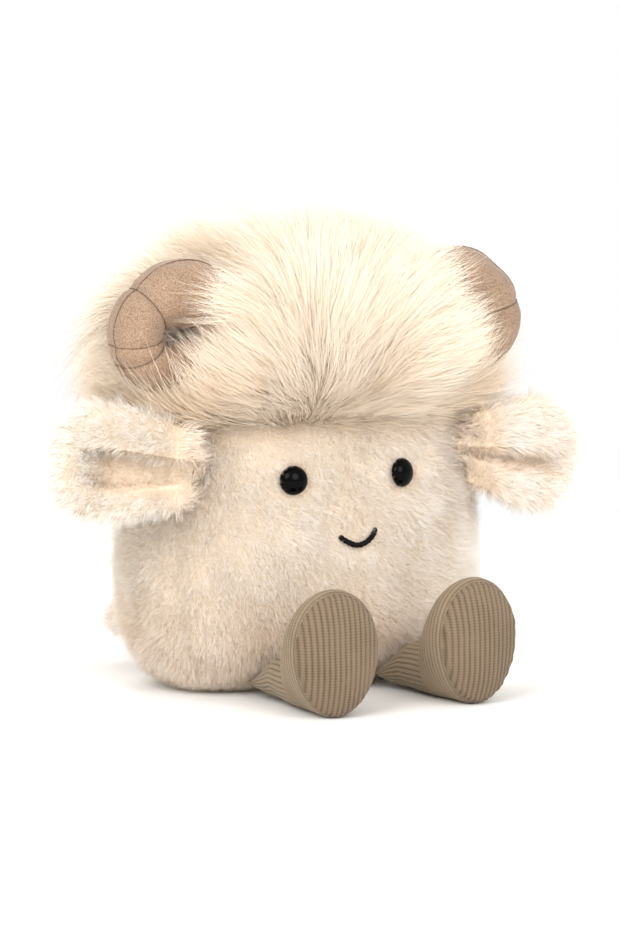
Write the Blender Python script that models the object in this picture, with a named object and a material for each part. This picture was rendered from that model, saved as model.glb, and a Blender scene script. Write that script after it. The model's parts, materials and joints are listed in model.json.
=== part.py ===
"""A sitting plush ram: a stuffed, squared body with a long-pile mane, two curled horns, two folded
ears, two corduroy legs and a stub tail.

Units are metres. The toy faces -Y, its left side is +X, up is +Z, and the origin is the middle of the
flat base that it sits on. Every cloth panel is a closed shell of its own, with the stuffing inside it
as another piece, and the legs, ears and tail are turned about the seams that hold them.
"""

import math

import bmesh
import bpy
from mathutils import Matrix, Vector

# Clearances shared by the whole toy.
SEAM_GAP = 0.0003
CUT_OVERRUN = 0.004
SHARP_ANGLE = math.radians(50.0)

# Body: a pear-shaped rounded box, drawn in towards the top, tucked under in front where the legs come
# out, and cut flat where it sits.
BODY_HALF_WIDTH = 0.059
BODY_HALF_DEPTH = 0.038
BODY_HALF_HEIGHT = 0.062
BODY_MIDDLE_HEIGHT = 0.054
BODY_WIDEST_HEIGHT = 0.038
BODY_TAPER_SHARE = 0.105
PLAN_POWER = 2.4
RISE_POWER = 3.0
BODY_CLOTH = 0.003
BASE_CLOTH = 0.002
BASE_SEAM_HEIGHT = 0.005
TUCK_HEIGHT = 0.021
TUCK_SHARE = 0.36
HAIRLINE_HEIGHT = 0.083
SIDE_SEAM_LEFT_ANGLE = math.radians(38.0)
SIDE_SEAM_RIGHT_ANGLE = math.radians(31.0)
BODY_COLUMNS = 36
PANEL_ROWS = 8
ROW_BUNCHING_SHARE = 0.6
CROWN_ROWS = 5
BASE_ROWS = 2

# Bag of pellets in the bottom of the body, and the filling above it. The room is what stays between the
# bag and the cloth all round it.
POUCH_ROOM = 0.004
POUCH_HALF_HEIGHT = 0.009
POUCH_CLOTH = 0.001
POUCH_POWER = 2.6
POUCH_COLUMNS = 20
POUCH_ROWS = 3
POUCH_LAST_ROW_SHARE = 0.92

# Mane: long pile that stands on the crown panel.
MANE_HALF_WIDTH = 0.067
MANE_HALF_DEPTH = 0.050
MANE_TOP_HEIGHT = 0.144
MANE_PLAN_POWER = 2.2
MANE_SET_BACK = 0.003
MANE_HEIGHT_SHARES = (0.0, 0.05, 0.14, 0.27, 0.42, 0.58, 0.74, 0.87, 0.96)
MANE_WIDTH_SHARES = (0.82, 0.87, 0.93, 0.985, 1.0, 0.95, 0.82, 0.62, 0.35)
MANE_TUFTS = 9
MANE_TUFT_SHARE = 0.022
MANE_NOTCH_SHARE = 0.22
MANE_NOTCH_ANGLE = math.radians(25.0)
MANE_NOTCH_SPREAD = math.radians(24.0)
MANE_NOTCH_START_SHARE = 0.08
MANE_COLUMNS = 40

# Eyes: glossy beads whose shanks pass through the face panel into washers.
EYE_DIAMETER = 0.009
EYE_DOME = 0.0030
EYE_REST_SHARE = 0.9
EYE_DOME_STEPS = 5
EYE_SPACING = 0.0376
EYE_HEIGHT = 0.0670
SHANK_DIAMETER = 0.003
SHANK_LENGTH = 0.008
WASHER_DIAMETER = 0.011
WASHER_THICKNESS = 0.0015
WASHER_HUB_DIAMETER = 0.006
WASHER_HUB_THICKNESS = 0.0012
ROUND_STEPS = 12

# Mouth: one laid thread, stitched to the face as a shallow smile.
MOUTH_WIDTH = 0.0128
MOUTH_LOW_HEIGHT = 0.0463
MOUTH_ASIDE = 0.0021
MOUTH_RISE = 0.0040
MOUTH_TILT = 0.0012
THREAD_DIAMETER = 0.0012
MOUTH_POINTS = 9

# Horns: stuffed tubes that curl in an upright plane, from the crown up, outwards, down and in again.
HORN_OUT = 0.0490
HORN_FORWARD = 0.016
HORN_HEIGHT = 0.1140
HORN_CURL_RADIUS = 0.0133
HORN_TUBE_RADIUS = 0.0087
HORN_TIP_BACK = 0.003
HORN_CLOTH = 0.0015
HORN_START_ANGLE = math.radians(236.0)
HORN_SWEEP = math.radians(386.0)
HORN_CURL_SHARES = (2.05, 1.60, 1.25, 0.90, 0.77, 0.72, 0.75, 0.92, 1.05, 1.07, 0.94, 0.68, 0.44)
HORN_TUBE_SHARES = (1.07, 1.10, 1.15, 1.21, 1.23, 1.17, 1.03, 0.99, 0.98, 0.91, 0.83, 0.68, 0.48)
HORN_TIP_ANGLE = math.radians(22.0)
HORN_RIDGE_ANGLES = (math.radians(135.0), math.radians(32.0), math.radians(-25.0), math.radians(-46.0))
HORN_RIDGE_TURN = math.radians(-30.0)
HORN_RIDGE_SPREAD = math.radians(8.0)
HORN_RIDGE_DIP_SHARE = 0.07
HORN_RING_STEP = math.radians(20.0)
HORN_EYE_RADIUS = 0.0085
HORN_COLUMNS = 5

# Ears: two cloths each, folded to a trough at the root and nearly flat at the round tip.
EAR_LENGTH = 0.0440
EAR_HALF_HEIGHT = 0.0172
EAR_ROOT_RADIUS = 0.0052
EAR_LEFT_SEAT = 0.00395
EAR_RIGHT_SEAT = 0.00445
EAR_CLOTH = 0.0026
EAR_HEIGHT = 0.0716
EAR_BACKWARD = math.radians(13.0)
EAR_ROOT_FOLD = math.radians(150.0)
EAR_LEFT_LIFT = math.radians(-8.0)
EAR_RIGHT_LIFT = math.radians(6.0)
EAR_ALONG_SHARES = (0.0, 0.10, 0.24, 0.40, 0.56, 0.71, 0.84, 0.93, 0.985, 1.0)
EAR_HEIGHT_SHARES = (0.24, 0.47, 0.74, 0.93, 1.0, 0.98, 0.85, 0.64, 0.34, 0.10)
EAR_FOLD_SHARES = (1.0, 0.86, 0.66, 0.48, 0.34, 0.26, 0.21, 0.19, 0.19, 0.19)
EAR_COLUMNS = 8

# Legs: flat at the hip seam, round along the tube, then a foot that stands up behind its sole.
LEG_OUT = 0.0205
LEG_ROOT_HEIGHT = 0.0055
LEG_SPLAY = math.radians(4.5)
LEG_LENGTH = 0.0510
LEG_CLOTH = 0.0014
TUBE_HALF_WIDTH = 0.0100
TUBE_HALF_HEIGHT = 0.0084
FOOT_HALF_WIDTH = 0.0140
FOOT_HALF_HEIGHT = 0.0192
FOOT_EGG_SHARE = 0.07
TUBE_ALONG_SHARES = (0.0, 0.04, 0.11, 0.20, 0.32, 0.46, 0.60)
TUBE_WIDTH_SHARES = (0.88, 0.95, 0.99, 1.0, 1.0, 0.98, 1.0)
TUBE_HEIGHT_SHARES = (0.04, 0.14, 0.38, 0.68, 0.92, 1.0, 1.0)
FOOT_ALONG_SHARES = (0.615, 0.65, 0.70, 0.765, 0.84, 0.91)
FOOT_WIDTH_SHARES = (0.82, 0.90, 0.96, 0.99, 1.0, 0.975)
FOOT_HEIGHT_SHARES = (0.56, 0.72, 0.86, 0.96, 1.0, 0.985)
SOLE_ALONG_SHARES = (0.945, 0.972, 0.991)
SOLE_WIDTH_SHARES = (0.90, 0.74, 0.42)
SOLE_HEIGHT_SHARES = (0.92, 0.77, 0.45)
LEG_BLIND_ROWS = 2
LEG_RISE_SHARES = (0.11, 0.32)
LEG_COLUMNS = 14

# Tail: a stub that is flat at the back seam and leans to the toy's right.
TAIL_HEIGHT = 0.021
TAIL_DROOP = 0.007
TAIL_LENGTH = 0.043
TAIL_HALF_WIDTH = 0.0090
TAIL_HALF_HEIGHT = 0.0085
TAIL_CLOTH = 0.0024
TAIL_LEAN = math.radians(58.0)
TAIL_ALONG_SHARES = (0.0, 0.10, 0.24, 0.40, 0.58, 0.75, 0.88, 0.965)
TAIL_WIDTH_SHARES = (0.07, 0.38, 0.72, 0.94, 1.0, 0.93, 0.72, 0.40)
TAIL_HEIGHT_SHARES = (0.55, 0.70, 0.86, 0.97, 1.0, 0.93, 0.72, 0.40)
TAIL_BLIND_ROWS = 2
TAIL_COLUMNS = 12

SIDES = (("left", 1.0), ("right", -1.0))
NUDGE_SHARE = 0.001
NUDGE_ANGLE = math.radians(0.5)

# Materials: colour, roughness.
PLUSH = ("cream_plush", (0.80, 0.68, 0.55), 0.95)
LONG_PILE = ("long_pile", (0.86, 0.76, 0.62), 0.95)
SUEDETTE = ("suedette", (0.58, 0.43, 0.30), 0.90)
CORDUROY = ("corduroy", (0.33, 0.26, 0.17), 0.92)
FILLING = ("fibre_filling", (0.90, 0.90, 0.88), 0.95)
POUCH_FABRIC = ("pouch_lining", (0.75, 0.74, 0.70), 0.90)
PELLETS = ("plastic_pellets", (0.60, 0.62, 0.64), 0.50)
BEAD = ("black_bead", (0.008, 0.007, 0.007), 0.08)
WASHER = ("white_washer", (0.80, 0.80, 0.78), 0.45)
THREAD = ("black_thread", (0.018, 0.014, 0.012), 0.85)


def clear_scene():
    """Removes every object of the scene."""
    for thing in list(bpy.data.objects):
        bpy.data.objects.remove(thing, do_unlink=True)


def blend_between(start, end, share):
    """The value at this share of the way from start to end."""
    return start + (end - start) * share


def read_shares(shares, share):
    """A smooth curve through evenly spaced values, read at a share of its length."""
    place = share * (len(shares) - 1)
    index = min(int(place), len(shares) - 2)
    part = place - index
    before = shares[max(index - 1, 0)]
    first, second = shares[index], shares[index + 1]
    after = shares[min(index + 2, len(shares) - 1)]
    slope_first = (second - before) / 2
    slope_second = (after - first) / 2
    return (
        first * (2 * part**3 - 3 * part**2 + 1)
        + slope_first * (part**3 - 2 * part**2 + part)
        + second * (3 * part**2 - 2 * part**3)
        + slope_second * (part**3 - part**2)
    )


def signed_power(value, power):
    """The value's size raised to a power, with its sign kept."""
    return math.copysign(abs(value) ** power, value)


def make_material(finish):
    """A Principled material of this colour and roughness."""
    name, colour, roughness = finish
    if name in bpy.data.materials:
        return bpy.data.materials[name]
    material = bpy.data.materials.new(name)
    material.use_nodes = True
    shader = material.node_tree.nodes["Principled BSDF"]
    shader.inputs["Base Color"].default_value = (*colour, 1.0)
    shader.inputs["Roughness"].default_value = roughness
    shader.inputs["Metallic"].default_value = 0.0
    return material


def add_object(name, mesh, finish, pivot=None):
    """Puts a bmesh in the scene as a named, smooth-shaded object, with its origin at its pivot if given."""
    origin = pivot if pivot is not None else Vector((0.0, 0.0, 0.0))
    bmesh.ops.recalc_face_normals(mesh, faces=mesh.faces[:])
    bmesh.ops.translate(mesh, vec=-origin, verts=mesh.verts[:])
    data = bpy.data.meshes.new(name)
    mesh.to_mesh(data)
    mesh.free()
    data.shade_smooth()
    data.set_sharp_from_angle(angle=SHARP_ANGLE)
    data.materials.append(make_material(finish))
    thing = bpy.data.objects.new(name, data)
    thing.location = origin
    bpy.context.scene.collection.objects.link(thing)
    return thing


def add_cutter(name, mesh):
    """Puts a bmesh in the scene as a cutter, which the finished toy doesn't hold."""
    cutter = add_object(name, mesh, FILLING)
    cutter.hide_render = True
    cutter.display_type = "WIRE"
    return cutter


def cut(thing, cutter):
    """Takes the cutter's shape out of an object."""
    boolean = thing.modifiers.new("cut_by_" + cutter.name, "BOOLEAN")
    boolean.operation = "DIFFERENCE"
    boolean.solver = "EXACT"
    boolean.object = cutter


def add_sheet(mesh, rows, around, first_tip=None, last_tip=None):
    """Adds a sheet of faces through rows of points, with an end point at either end if given.

    around joins each row's last point to its first. Returns the sheet's vertices in order.
    """
    grid = [[mesh.verts.new(point) for point in row] for row in rows]
    count = len(grid[0])
    steps = range(count if around else count - 1)
    for near, far in zip(grid, grid[1:]):
        for step in steps:
            following = (step + 1) % count
            mesh.faces.new((near[step], near[following], far[following], far[step]))
    vertices = [vertex for row in grid for vertex in row]
    for tip, row in ((first_tip, grid[0]), (last_tip, grid[-1])):
        if tip is not None:
            point = mesh.verts.new(tip)
            vertices.append(point)
            for step in steps:
                mesh.faces.new((row[step], row[(step + 1) % count], point))
    return vertices


def shell_object(name, finish, outer, inner, around, pivot=None):
    """A closed shell between two sheets of like rows, joined along their open edges.

    outer and inner are each (rows, first tip or None, last tip or None).
    """
    mesh = bmesh.new()
    outside = add_sheet(mesh, outer[0], around, outer[1], outer[2])
    inside = add_sheet(mesh, inner[0], around, inner[1], inner[2])
    partner = dict(zip(outside, inside))
    rim = [edge for edge in mesh.edges if edge.is_boundary and edge.verts[0] in partner]
    for edge in rim:
        first, second = edge.verts
        mesh.faces.new((first, second, partner[second], partner[first]))
    return add_object(name, mesh, finish, pivot)


def solid_mesh(rows, first_tip, last_tip):
    """A closed solid through rows of points that go all round, with a point at each end."""
    mesh = bmesh.new()
    add_sheet(mesh, rows, True, first_tip, last_tip)
    return mesh


def turned_mesh(profile, frame):
    """Turns a profile of (radius, distance along the axis) about the X axis of a frame."""
    mesh = bmesh.new()
    start = [mesh.verts.new((along, radius, 0.0)) for radius, along in profile]
    edges = [mesh.edges.new(pair) for pair in zip(start, start[1:])]
    bmesh.ops.spin(
        mesh,
        geom=start + edges,
        axis=(1.0, 0.0, 0.0),
        cent=(0.0, 0.0, 0.0),
        angle=math.tau,
        steps=ROUND_STEPS,
        use_duplicate=False,
    )
    bmesh.ops.remove_doubles(mesh, verts=mesh.verts[:], dist=SEAM_GAP / 10)
    bmesh.ops.transform(mesh, matrix=frame, verts=mesh.verts[:])
    return mesh


def ring_share(height, inset):
    """How wide the body is at a height, as a share of its full half width."""
    rise = abs(height - BODY_MIDDLE_HEIGHT) / (BODY_HALF_HEIGHT - inset)
    taper = 1.0 - BODY_TAPER_SHARE * (height - BODY_WIDEST_HEIGHT) / BODY_HALF_HEIGHT
    return taper * max(0.0, 1.0 - rise**RISE_POWER) ** (1.0 / RISE_POWER)


def body_point(angle, height, inset):
    """A point of the body's skin, inset below its outer surface."""
    share = ring_share(height, inset)
    across = signed_power(math.cos(angle), 2.0 / PLAN_POWER)
    along = signed_power(math.sin(angle), 2.0 / PLAN_POWER)
    if along < 0.0:
        along *= 1.0 - TUCK_SHARE * max(0.0, 1.0 - height / TUCK_HEIGHT) ** 2
    return Vector(
        (
            (BODY_HALF_WIDTH - inset) * share * across,
            (BODY_HALF_DEPTH - inset) * share * along,
            height,
        )
    )


def body_frame(angle, height):
    """A frame on the body's skin: X leaves the skin, Y runs level along it and Z runs up it."""
    point = body_point(angle, height, 0.0)
    level = body_point(angle + NUDGE_ANGLE, height, 0.0) - body_point(angle - NUDGE_ANGLE, height, 0.0)
    upward = body_point(angle, height + SEAM_GAP, 0.0) - body_point(angle, height - SEAM_GAP, 0.0)
    outward = level.cross(upward).normalized()
    level.normalize()
    upward = outward.cross(level)
    return point, outward, level, upward


def skin_angle(across, height):
    """The plan angle at which the front of the body is this far across."""
    share = across / (BODY_HALF_WIDTH * ring_share(height, 0.0))
    return -math.acos(signed_power(share, PLAN_POWER / 2.0))


def axes_matrix(point, x_axis, y_axis, z_axis):
    """The matrix of a frame at a point with these three axes."""
    turn = Matrix((x_axis, y_axis, z_axis)).transposed().to_4x4()
    return Matrix.Translation(point) @ turn


def panel_row(start, end, steps, height, inset):
    """One row of a body panel, drawn in by half a seam gap at both its side seams."""
    row = []
    for step in range(steps + 1):
        angle = blend_between(start, end, step / steps)
        point = body_point(angle, height, inset)
        if step in (0, steps):
            level = body_frame(angle, height)[2]
            point += level * (SEAM_GAP / 2 if step == 0 else -SEAM_GAP / 2)
        row.append(point)
    return row


def wall_spans():
    """The three wall panels: name, first and last plan angle, and how many faces wide each is."""
    half_turn = math.pi
    spans = (
        ("face_panel", -half_turn + SIDE_SEAM_RIGHT_ANGLE, -SIDE_SEAM_LEFT_ANGLE),
        ("back_panel_left", -SIDE_SEAM_LEFT_ANGLE, half_turn / 2),
        ("back_panel_right", half_turn / 2, half_turn + SIDE_SEAM_RIGHT_ANGLE),
    )
    return [(name, start, end, round(BODY_COLUMNS * (end - start) / math.tau))
            for name, start, end in spans]


def wall_heights():
    """Heights of the wall panels' rows, between the base seam and the hairline."""
    low = BASE_SEAM_HEIGHT + SEAM_GAP / 2
    high = HAIRLINE_HEIGHT - SEAM_GAP / 2
    shares = [1.0 - math.cos(0.5 * math.pi * step / PANEL_ROWS) for step in range(PANEL_ROWS + 1)]
    return [blend_between(low, high, blend_between(step / PANEL_ROWS, share, ROW_BUNCHING_SHARE))
            for step, share in enumerate(shares)]


def crown_heights(inset):
    """Heights of the crown's rows, from the hairline up, without its top point."""
    low = HAIRLINE_HEIGHT + SEAM_GAP / 2
    top = BODY_MIDDLE_HEIGHT + BODY_HALF_HEIGHT - inset
    return [blend_between(low, top, math.sin(0.5 * math.pi * step / CROWN_ROWS))
            for step in range(CROWN_ROWS)]


def ring_row(height, inset):
    """One row that goes all round the body, with the wall panels' own columns."""
    row = []
    for _, start, end, steps in wall_spans():
        for step in range(steps):
            row.append(body_point(blend_between(start, end, step / steps), height, inset))
    return row


def make_wall_panels():
    """The face panel and the two back panels, between the base seam and the hairline."""
    panels = {}
    for name, start, end, steps in wall_spans():
        outer = [panel_row(start, end, steps, height, 0.0) for height in wall_heights()]
        inner = [panel_row(start, end, steps, height, BODY_CLOTH) for height in wall_heights()]
        panels[name] = shell_object(name, PLUSH, (outer, None, None), (inner, None, None), False)
    return panels


def crown_sheet(inset):
    """The body's skin above the hairline, and its top point."""
    rows = [ring_row(height, inset) for height in crown_heights(inset)]
    return rows, None, Vector((0.0, 0.0, BODY_MIDDLE_HEIGHT + BODY_HALF_HEIGHT - inset))


def base_sheet(inset, floor):
    """The body's skin below the base seam, with a flat bottom at floor height."""
    high = BASE_SEAM_HEIGHT - SEAM_GAP / 2
    rows = [ring_row(blend_between(floor, high, step / BASE_ROWS), inset)
            for step in range(BASE_ROWS + 1)]
    return rows, Vector((0.0, 0.0, floor)), None


def make_crown_and_base():
    """The backing cloth under the mane, and the flat-bottomed panel that the toy sits on."""
    shell_object("crown_panel", LONG_PILE, crown_sheet(0.0), crown_sheet(BODY_CLOTH), True)
    shell_object("base_panel", PLUSH, base_sheet(0.0, 0.0), base_sheet(BODY_CLOTH, BASE_CLOTH), True)


def pouch_middle():
    """Height of the seam round the pellet pouch, which lies on the base or where the walls meet above it."""
    walls_meet = BODY_MIDDLE_HEIGHT - BODY_HALF_HEIGHT + BODY_CLOTH + POUCH_ROOM
    return max(BASE_CLOTH, walls_meet) + SEAM_GAP + POUCH_HALF_HEIGHT


def pouch_sheet(inset, upwards):
    """Half of a pillow that follows the body's wall: rows from its middle seam to its top or bottom point."""
    sign = 1.0 if upwards else -1.0
    half_height = POUCH_HALF_HEIGHT - inset
    start = SEAM_GAP / 2
    rows = []
    for step in range(POUCH_ROWS + 1):
        turn = 0.5 * math.pi * POUCH_LAST_ROW_SHARE * step / POUCH_ROWS
        rise = blend_between(start, half_height, math.sin(turn))
        share = (1.0 - (rise / half_height) ** POUCH_POWER) ** (1.0 / POUCH_POWER)
        height = pouch_middle() + sign * rise
        row = []
        for column in range(POUCH_COLUMNS):
            angle = math.tau * column / POUCH_COLUMNS
            wall = body_point(angle, height, BODY_CLOTH + POUCH_ROOM + inset)
            row.append(Vector((wall.x * share, wall.y * share, height)))
        rows.append(row)
    return rows, None, Vector((0.0, 0.0, pouch_middle() + sign * half_height))


def pillow_mesh(inset):
    """The whole pillow as one closed solid."""
    upper, _, top = pouch_sheet(inset, True)
    lower, _, bottom = pouch_sheet(inset, False)
    return solid_mesh(lower[::-1] + upper, bottom, top)


def make_pouch():
    """The pellet pouch, its two cloths and the pellets that it holds."""
    for name, upwards in (("bean_pouch_top", True), ("bean_pouch_bottom", False)):
        shell_object(name, POUCH_FABRIC, pouch_sheet(0.0, upwards), pouch_sheet(POUCH_CLOTH, upwards), True)
    add_object("bean_pellets", pillow_mesh(POUCH_CLOTH + SEAM_GAP), PELLETS)


def make_body_stuffing(washer_frames):
    """Fibre filling from beside the pouch up to the crown, hollowed for the pouch and the washers."""
    inset = BODY_CLOTH + SEAM_GAP
    top = BODY_MIDDLE_HEIGHT + BODY_HALF_HEIGHT - inset
    heights = [height for height in wall_heights() if height > pouch_middle()] + crown_heights(inset)[1:]
    rows = [ring_row(height, inset) for height in heights]
    mesh = solid_mesh(rows, Vector((0.0, 0.0, heights[0])), Vector((0.0, 0.0, top)))
    stuffing = add_object("body_stuffing", mesh, FILLING)
    cut(stuffing, add_cutter("pouch_room", pillow_mesh(-SEAM_GAP)))
    depth = WASHER_THICKNESS + WASHER_HUB_THICKNESS + SHANK_LENGTH
    radius = WASHER_DIAMETER / 2 + SEAM_GAP
    for name, frame in washer_frames.items():
        profile = ((0.0, CUT_OVERRUN), (radius, CUT_OVERRUN), (radius, -depth), (0.0, -depth))
        cut(stuffing, add_cutter("washer_room_" + name, turned_mesh(profile, frame)))


def eye_frame(side):
    """The frame of an eye, whose X axis leaves the face."""
    angle = skin_angle(side * EYE_SPACING / 2, EYE_HEIGHT)
    point, outward, level, upward = body_frame(angle, EYE_HEIGHT)
    return axes_matrix(point, outward, level, upward)


def make_eyes(face_panel):
    """Beads on shanks through the face, each held by a washer behind the cloth."""
    radius = EYE_DIAMETER / 2
    shank = SHANK_DIAMETER / 2
    washer_frames = {}
    for name, side in SIDES:
        frame = eye_frame(side)
        dome = []
        for step in range(EYE_DOME_STEPS + 1):
            angle = 0.5 * math.pi * step / EYE_DOME_STEPS
            dome.append((radius * math.sin(angle), SEAM_GAP + EYE_DOME * math.cos(angle)))
        bead = dome + [(radius * EYE_REST_SHARE, SEAM_GAP), (shank, SEAM_GAP),
                       (shank, -SHANK_LENGTH), (0.0, -SHANK_LENGTH)]
        add_object("eye_" + name, turned_mesh(bead, frame), BEAD)
        hole = shank + SEAM_GAP
        profile = ((0.0, CUT_OVERRUN), (hole, CUT_OVERRUN), (hole, -BODY_CLOTH - CUT_OVERRUN),
                   (0.0, -BODY_CLOTH - CUT_OVERRUN))
        cut(face_panel, add_cutter("eye_hole_" + name, turned_mesh(profile, frame)))
        front = -BODY_CLOTH - 2 * SEAM_GAP
        back = front - WASHER_THICKNESS
        hub = back - WASHER_HUB_THICKNESS
        rim = WASHER_DIAMETER / 2
        hub_rim = WASHER_HUB_DIAMETER / 2
        washer = ((hole, front), (rim, front), (rim, back), (hub_rim, back), (hub_rim, hub), (hole, hub),
                  (hole, front))
        add_object("eye_washer_" + name, turned_mesh(washer, frame), WASHER)
        washer_frames[name] = frame
    return washer_frames


def make_mouth():
    """The smile: a thread laid on the face along a shallow curve."""
    curve = bpy.data.curves.new("mouth_thread", "CURVE")
    curve.dimensions = "3D"
    curve.bevel_depth = THREAD_DIAMETER / 2
    curve.bevel_resolution = 2
    curve.use_fill_caps = True
    line = curve.splines.new("POLY")
    line.points.add(MOUTH_POINTS - 1)
    for index, point in enumerate(line.points):
        share = 2.0 * index / (MOUTH_POINTS - 1) - 1.0
        height = MOUTH_LOW_HEIGHT + MOUTH_RISE * share**2 + MOUTH_TILT * share
        angle = skin_angle(MOUTH_ASIDE + share * MOUTH_WIDTH / 2, height)
        skin, outward, _, _ = body_frame(angle, height)
        place = skin + outward * (THREAD_DIAMETER / 2 + SEAM_GAP)
        point.co = (*place, 1.0)
    curve.materials.append(make_material(THREAD))
    thing = bpy.data.objects.new("mouth_thread", curve)
    bpy.context.scene.collection.objects.link(thing)


def horn_ridge_dip(angle, turn):
    """How far the ridge threads draw the horn in at this angle of its curl, as a share."""
    return sum(
        HORN_RIDGE_DIP_SHARE * math.exp(-(((angle - ridge - turn) / HORN_RIDGE_SPREAD) ** 2))
        for ridge in HORN_RIDGE_ANGLES
    )


def horn_centre(share, side):
    """A point on the middle line of a horn's curl, at a share of its sweep."""
    angle = HORN_START_ANGLE - HORN_SWEEP * share
    radius = HORN_CURL_RADIUS * read_shares(HORN_CURL_SHARES, share)
    forward = HORN_FORWARD - HORN_TIP_BACK * share**3
    out = HORN_OUT + radius * math.cos(angle)
    return Vector((side * out, -forward, HORN_HEIGHT + radius * math.sin(angle)))


def horn_stops(turn, inset):
    """The angles at which a horn has a ring: its ends, its ridges and even steps between them."""
    last = HORN_START_ANGLE - HORN_SWEEP + HORN_TIP_ANGLE
    marks = [HORN_START_ANGLE] + [ridge + turn for ridge in HORN_RIDGE_ANGLES]
    stops = []
    for start, end in zip(marks, marks[1:] + [last]):
        count = max(2, round((start - end) / HORN_RING_STEP))
        end += inset / HORN_CURL_RADIUS if end == last else 0.0
        stops += [blend_between(start, end, step / count) for step in range(count)]
    return stops + [end]


def horn_sheet(side, inset, start, end, seam_shift):
    """Rows round part of a horn's tube, and its tip point.

    start and end are angles round the tube: 0 points away from the curl's middle and a quarter turn
    points to the front. seam_shift moves the sheet's two edges to the front by half a seam gap.
    """
    turn = HORN_RIDGE_TURN if side > 0 else 0.0
    around = end - start >= math.tau
    steps = 2 * HORN_COLUMNS if around else HORN_COLUMNS
    stops = horn_stops(turn, inset)
    rows = []
    for angle in stops:
        share = (HORN_START_ANGLE - angle) / HORN_SWEEP
        centre = horn_centre(share, side)
        along = horn_centre(share + NUDGE_SHARE, side) - horn_centre(share - NUDGE_SHARE, side)
        along.normalize()
        front = Vector((0.0, -1.0, 0.0))
        front = (front - along * front.dot(along)).normalized()
        away = front.cross(along).normalized() * side
        radius = HORN_TUBE_RADIUS * read_shares(HORN_TUBE_SHARES, share)
        radius = radius * (1.0 - horn_ridge_dip(angle, turn)) - inset
        points = []
        for step in range(steps if around else steps + 1):
            tube_angle = blend_between(start, end, step / steps)
            point = centre + (away * math.cos(tube_angle) + front * math.sin(tube_angle)) * radius
            if not around and step in (0, steps):
                point += front * seam_shift
            points.append(point)
        rows.append(points)
    tip_share = (HORN_START_ANGLE - stops[-1] + HORN_TIP_ANGLE) / HORN_SWEEP
    return rows, None, horn_centre(tip_share, side) + Vector((0.0, -seam_shift, 0.0))


def make_horns(crown_room):
    """Two curled horns, each a front and a back cloth round its own filling, sewn to the crown."""
    turn = math.pi
    for name, side in SIDES:
        for part, start, shift in (("front", 0.0, SEAM_GAP / 2), ("back", turn, -SEAM_GAP / 2)):
            outer = horn_sheet(side, 0.0, start, start + turn, shift)
            inner = horn_sheet(side, HORN_CLOTH, start, start + turn, shift)
            panel = shell_object("horn_" + name + "_" + part, SUEDETTE, outer, inner, False)
            cut(panel, crown_room)
        rows, _, tip = horn_sheet(side, HORN_CLOTH + SEAM_GAP, 0.0, math.tau, 0.0)
        mesh = solid_mesh(rows, horn_centre(0.0, side), tip)
        filling = add_object("horn_" + name + "_stuffing", mesh, FILLING)
        cut(filling, crown_room)


def horn_room(side):
    """The space that a horn takes out of the mane."""
    rows, _, tip = horn_sheet(side, -SEAM_GAP, 0.0, math.tau, 0.0)
    return solid_mesh(rows, horn_centre(0.0, side), tip)


def horn_eye(side):
    """A round plug through the middle of a horn's curl, where no pile grows."""
    front = -MANE_HALF_DEPTH
    back = HORN_TUBE_RADIUS
    radius = HORN_EYE_RADIUS
    profile = ((0.0, back), (radius, back), (radius, front), (0.0, front))
    middle = Vector((side * HORN_OUT, -HORN_FORWARD, HORN_HEIGHT))
    backward = Vector((0.0, 1.0, 0.0))
    upward = Vector((0.0, 0.0, 1.0))
    return turned_mesh(profile, axes_matrix(middle, backward, upward, backward.cross(upward)))


def body_room():
    """The body's outline grown by one seam gap, which cuts what stands on the crown."""
    crown_rows, _, top = crown_sheet(-SEAM_GAP)
    rows = [ring_row(BASE_SEAM_HEIGHT, -SEAM_GAP)] + crown_rows
    return solid_mesh(rows, Vector((0.0, 0.0, BASE_SEAM_HEIGHT)), top)


def mane_point(angle, share, width_share):
    """A point of the mane's outer surface."""
    tuft = MANE_TUFT_SHARE * math.cos(MANE_TUFTS * angle + math.pi * share)
    notch = 0.0
    for horn_angle in (-MANE_NOTCH_ANGLE, -math.pi + MANE_NOTCH_ANGLE):
        away = math.remainder(angle - horn_angle, math.tau) / MANE_NOTCH_SPREAD
        notch += MANE_NOTCH_SHARE * math.exp(-(away**2))
    notch *= math.sin(math.pi * min(1.0, share + MANE_NOTCH_START_SHARE))
    scale = width_share * (1.0 + tuft - notch)
    height = blend_between(HAIRLINE_HEIGHT + SEAM_GAP, MANE_TOP_HEIGHT, share)
    across = signed_power(math.cos(angle), 2.0 / MANE_PLAN_POWER)
    along = signed_power(math.sin(angle), 2.0 / MANE_PLAN_POWER)
    back = MANE_SET_BACK * share
    return Vector((MANE_HALF_WIDTH * scale * across, MANE_HALF_DEPTH * scale * along + back, height))


def make_mane(crown_room):
    """The long pile: a tufted dome that stands on the crown and parts round the horns."""
    rows = []
    for share, width_share in zip(MANE_HEIGHT_SHARES, MANE_WIDTH_SHARES):
        rows.append([mane_point(math.tau * step / MANE_COLUMNS, share, width_share)
                     for step in range(MANE_COLUMNS)])
    bottom = Vector((0.0, 0.0, HAIRLINE_HEIGHT + SEAM_GAP))
    top = Vector((0.0, MANE_SET_BACK, MANE_TOP_HEIGHT))
    mane = add_object("mane", solid_mesh(rows, bottom, top), LONG_PILE)
    cut(mane, crown_room)
    for name, side in SIDES:
        cut(mane, add_cutter("horn_eye_" + name, horn_eye(side)))
        cut(mane, add_cutter("horn_room_" + name, horn_room(side)))


def ear_frame(side):
    """The frame of an ear at its pivot, and its directions out along the ear, to its back and up."""
    outward = Vector((side * math.cos(EAR_BACKWARD), math.sin(EAR_BACKWARD), 0.0))
    upward = Vector((0.0, 0.0, 1.0))
    return ear_pivot(side), outward, upward.cross(outward) * side, upward


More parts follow.
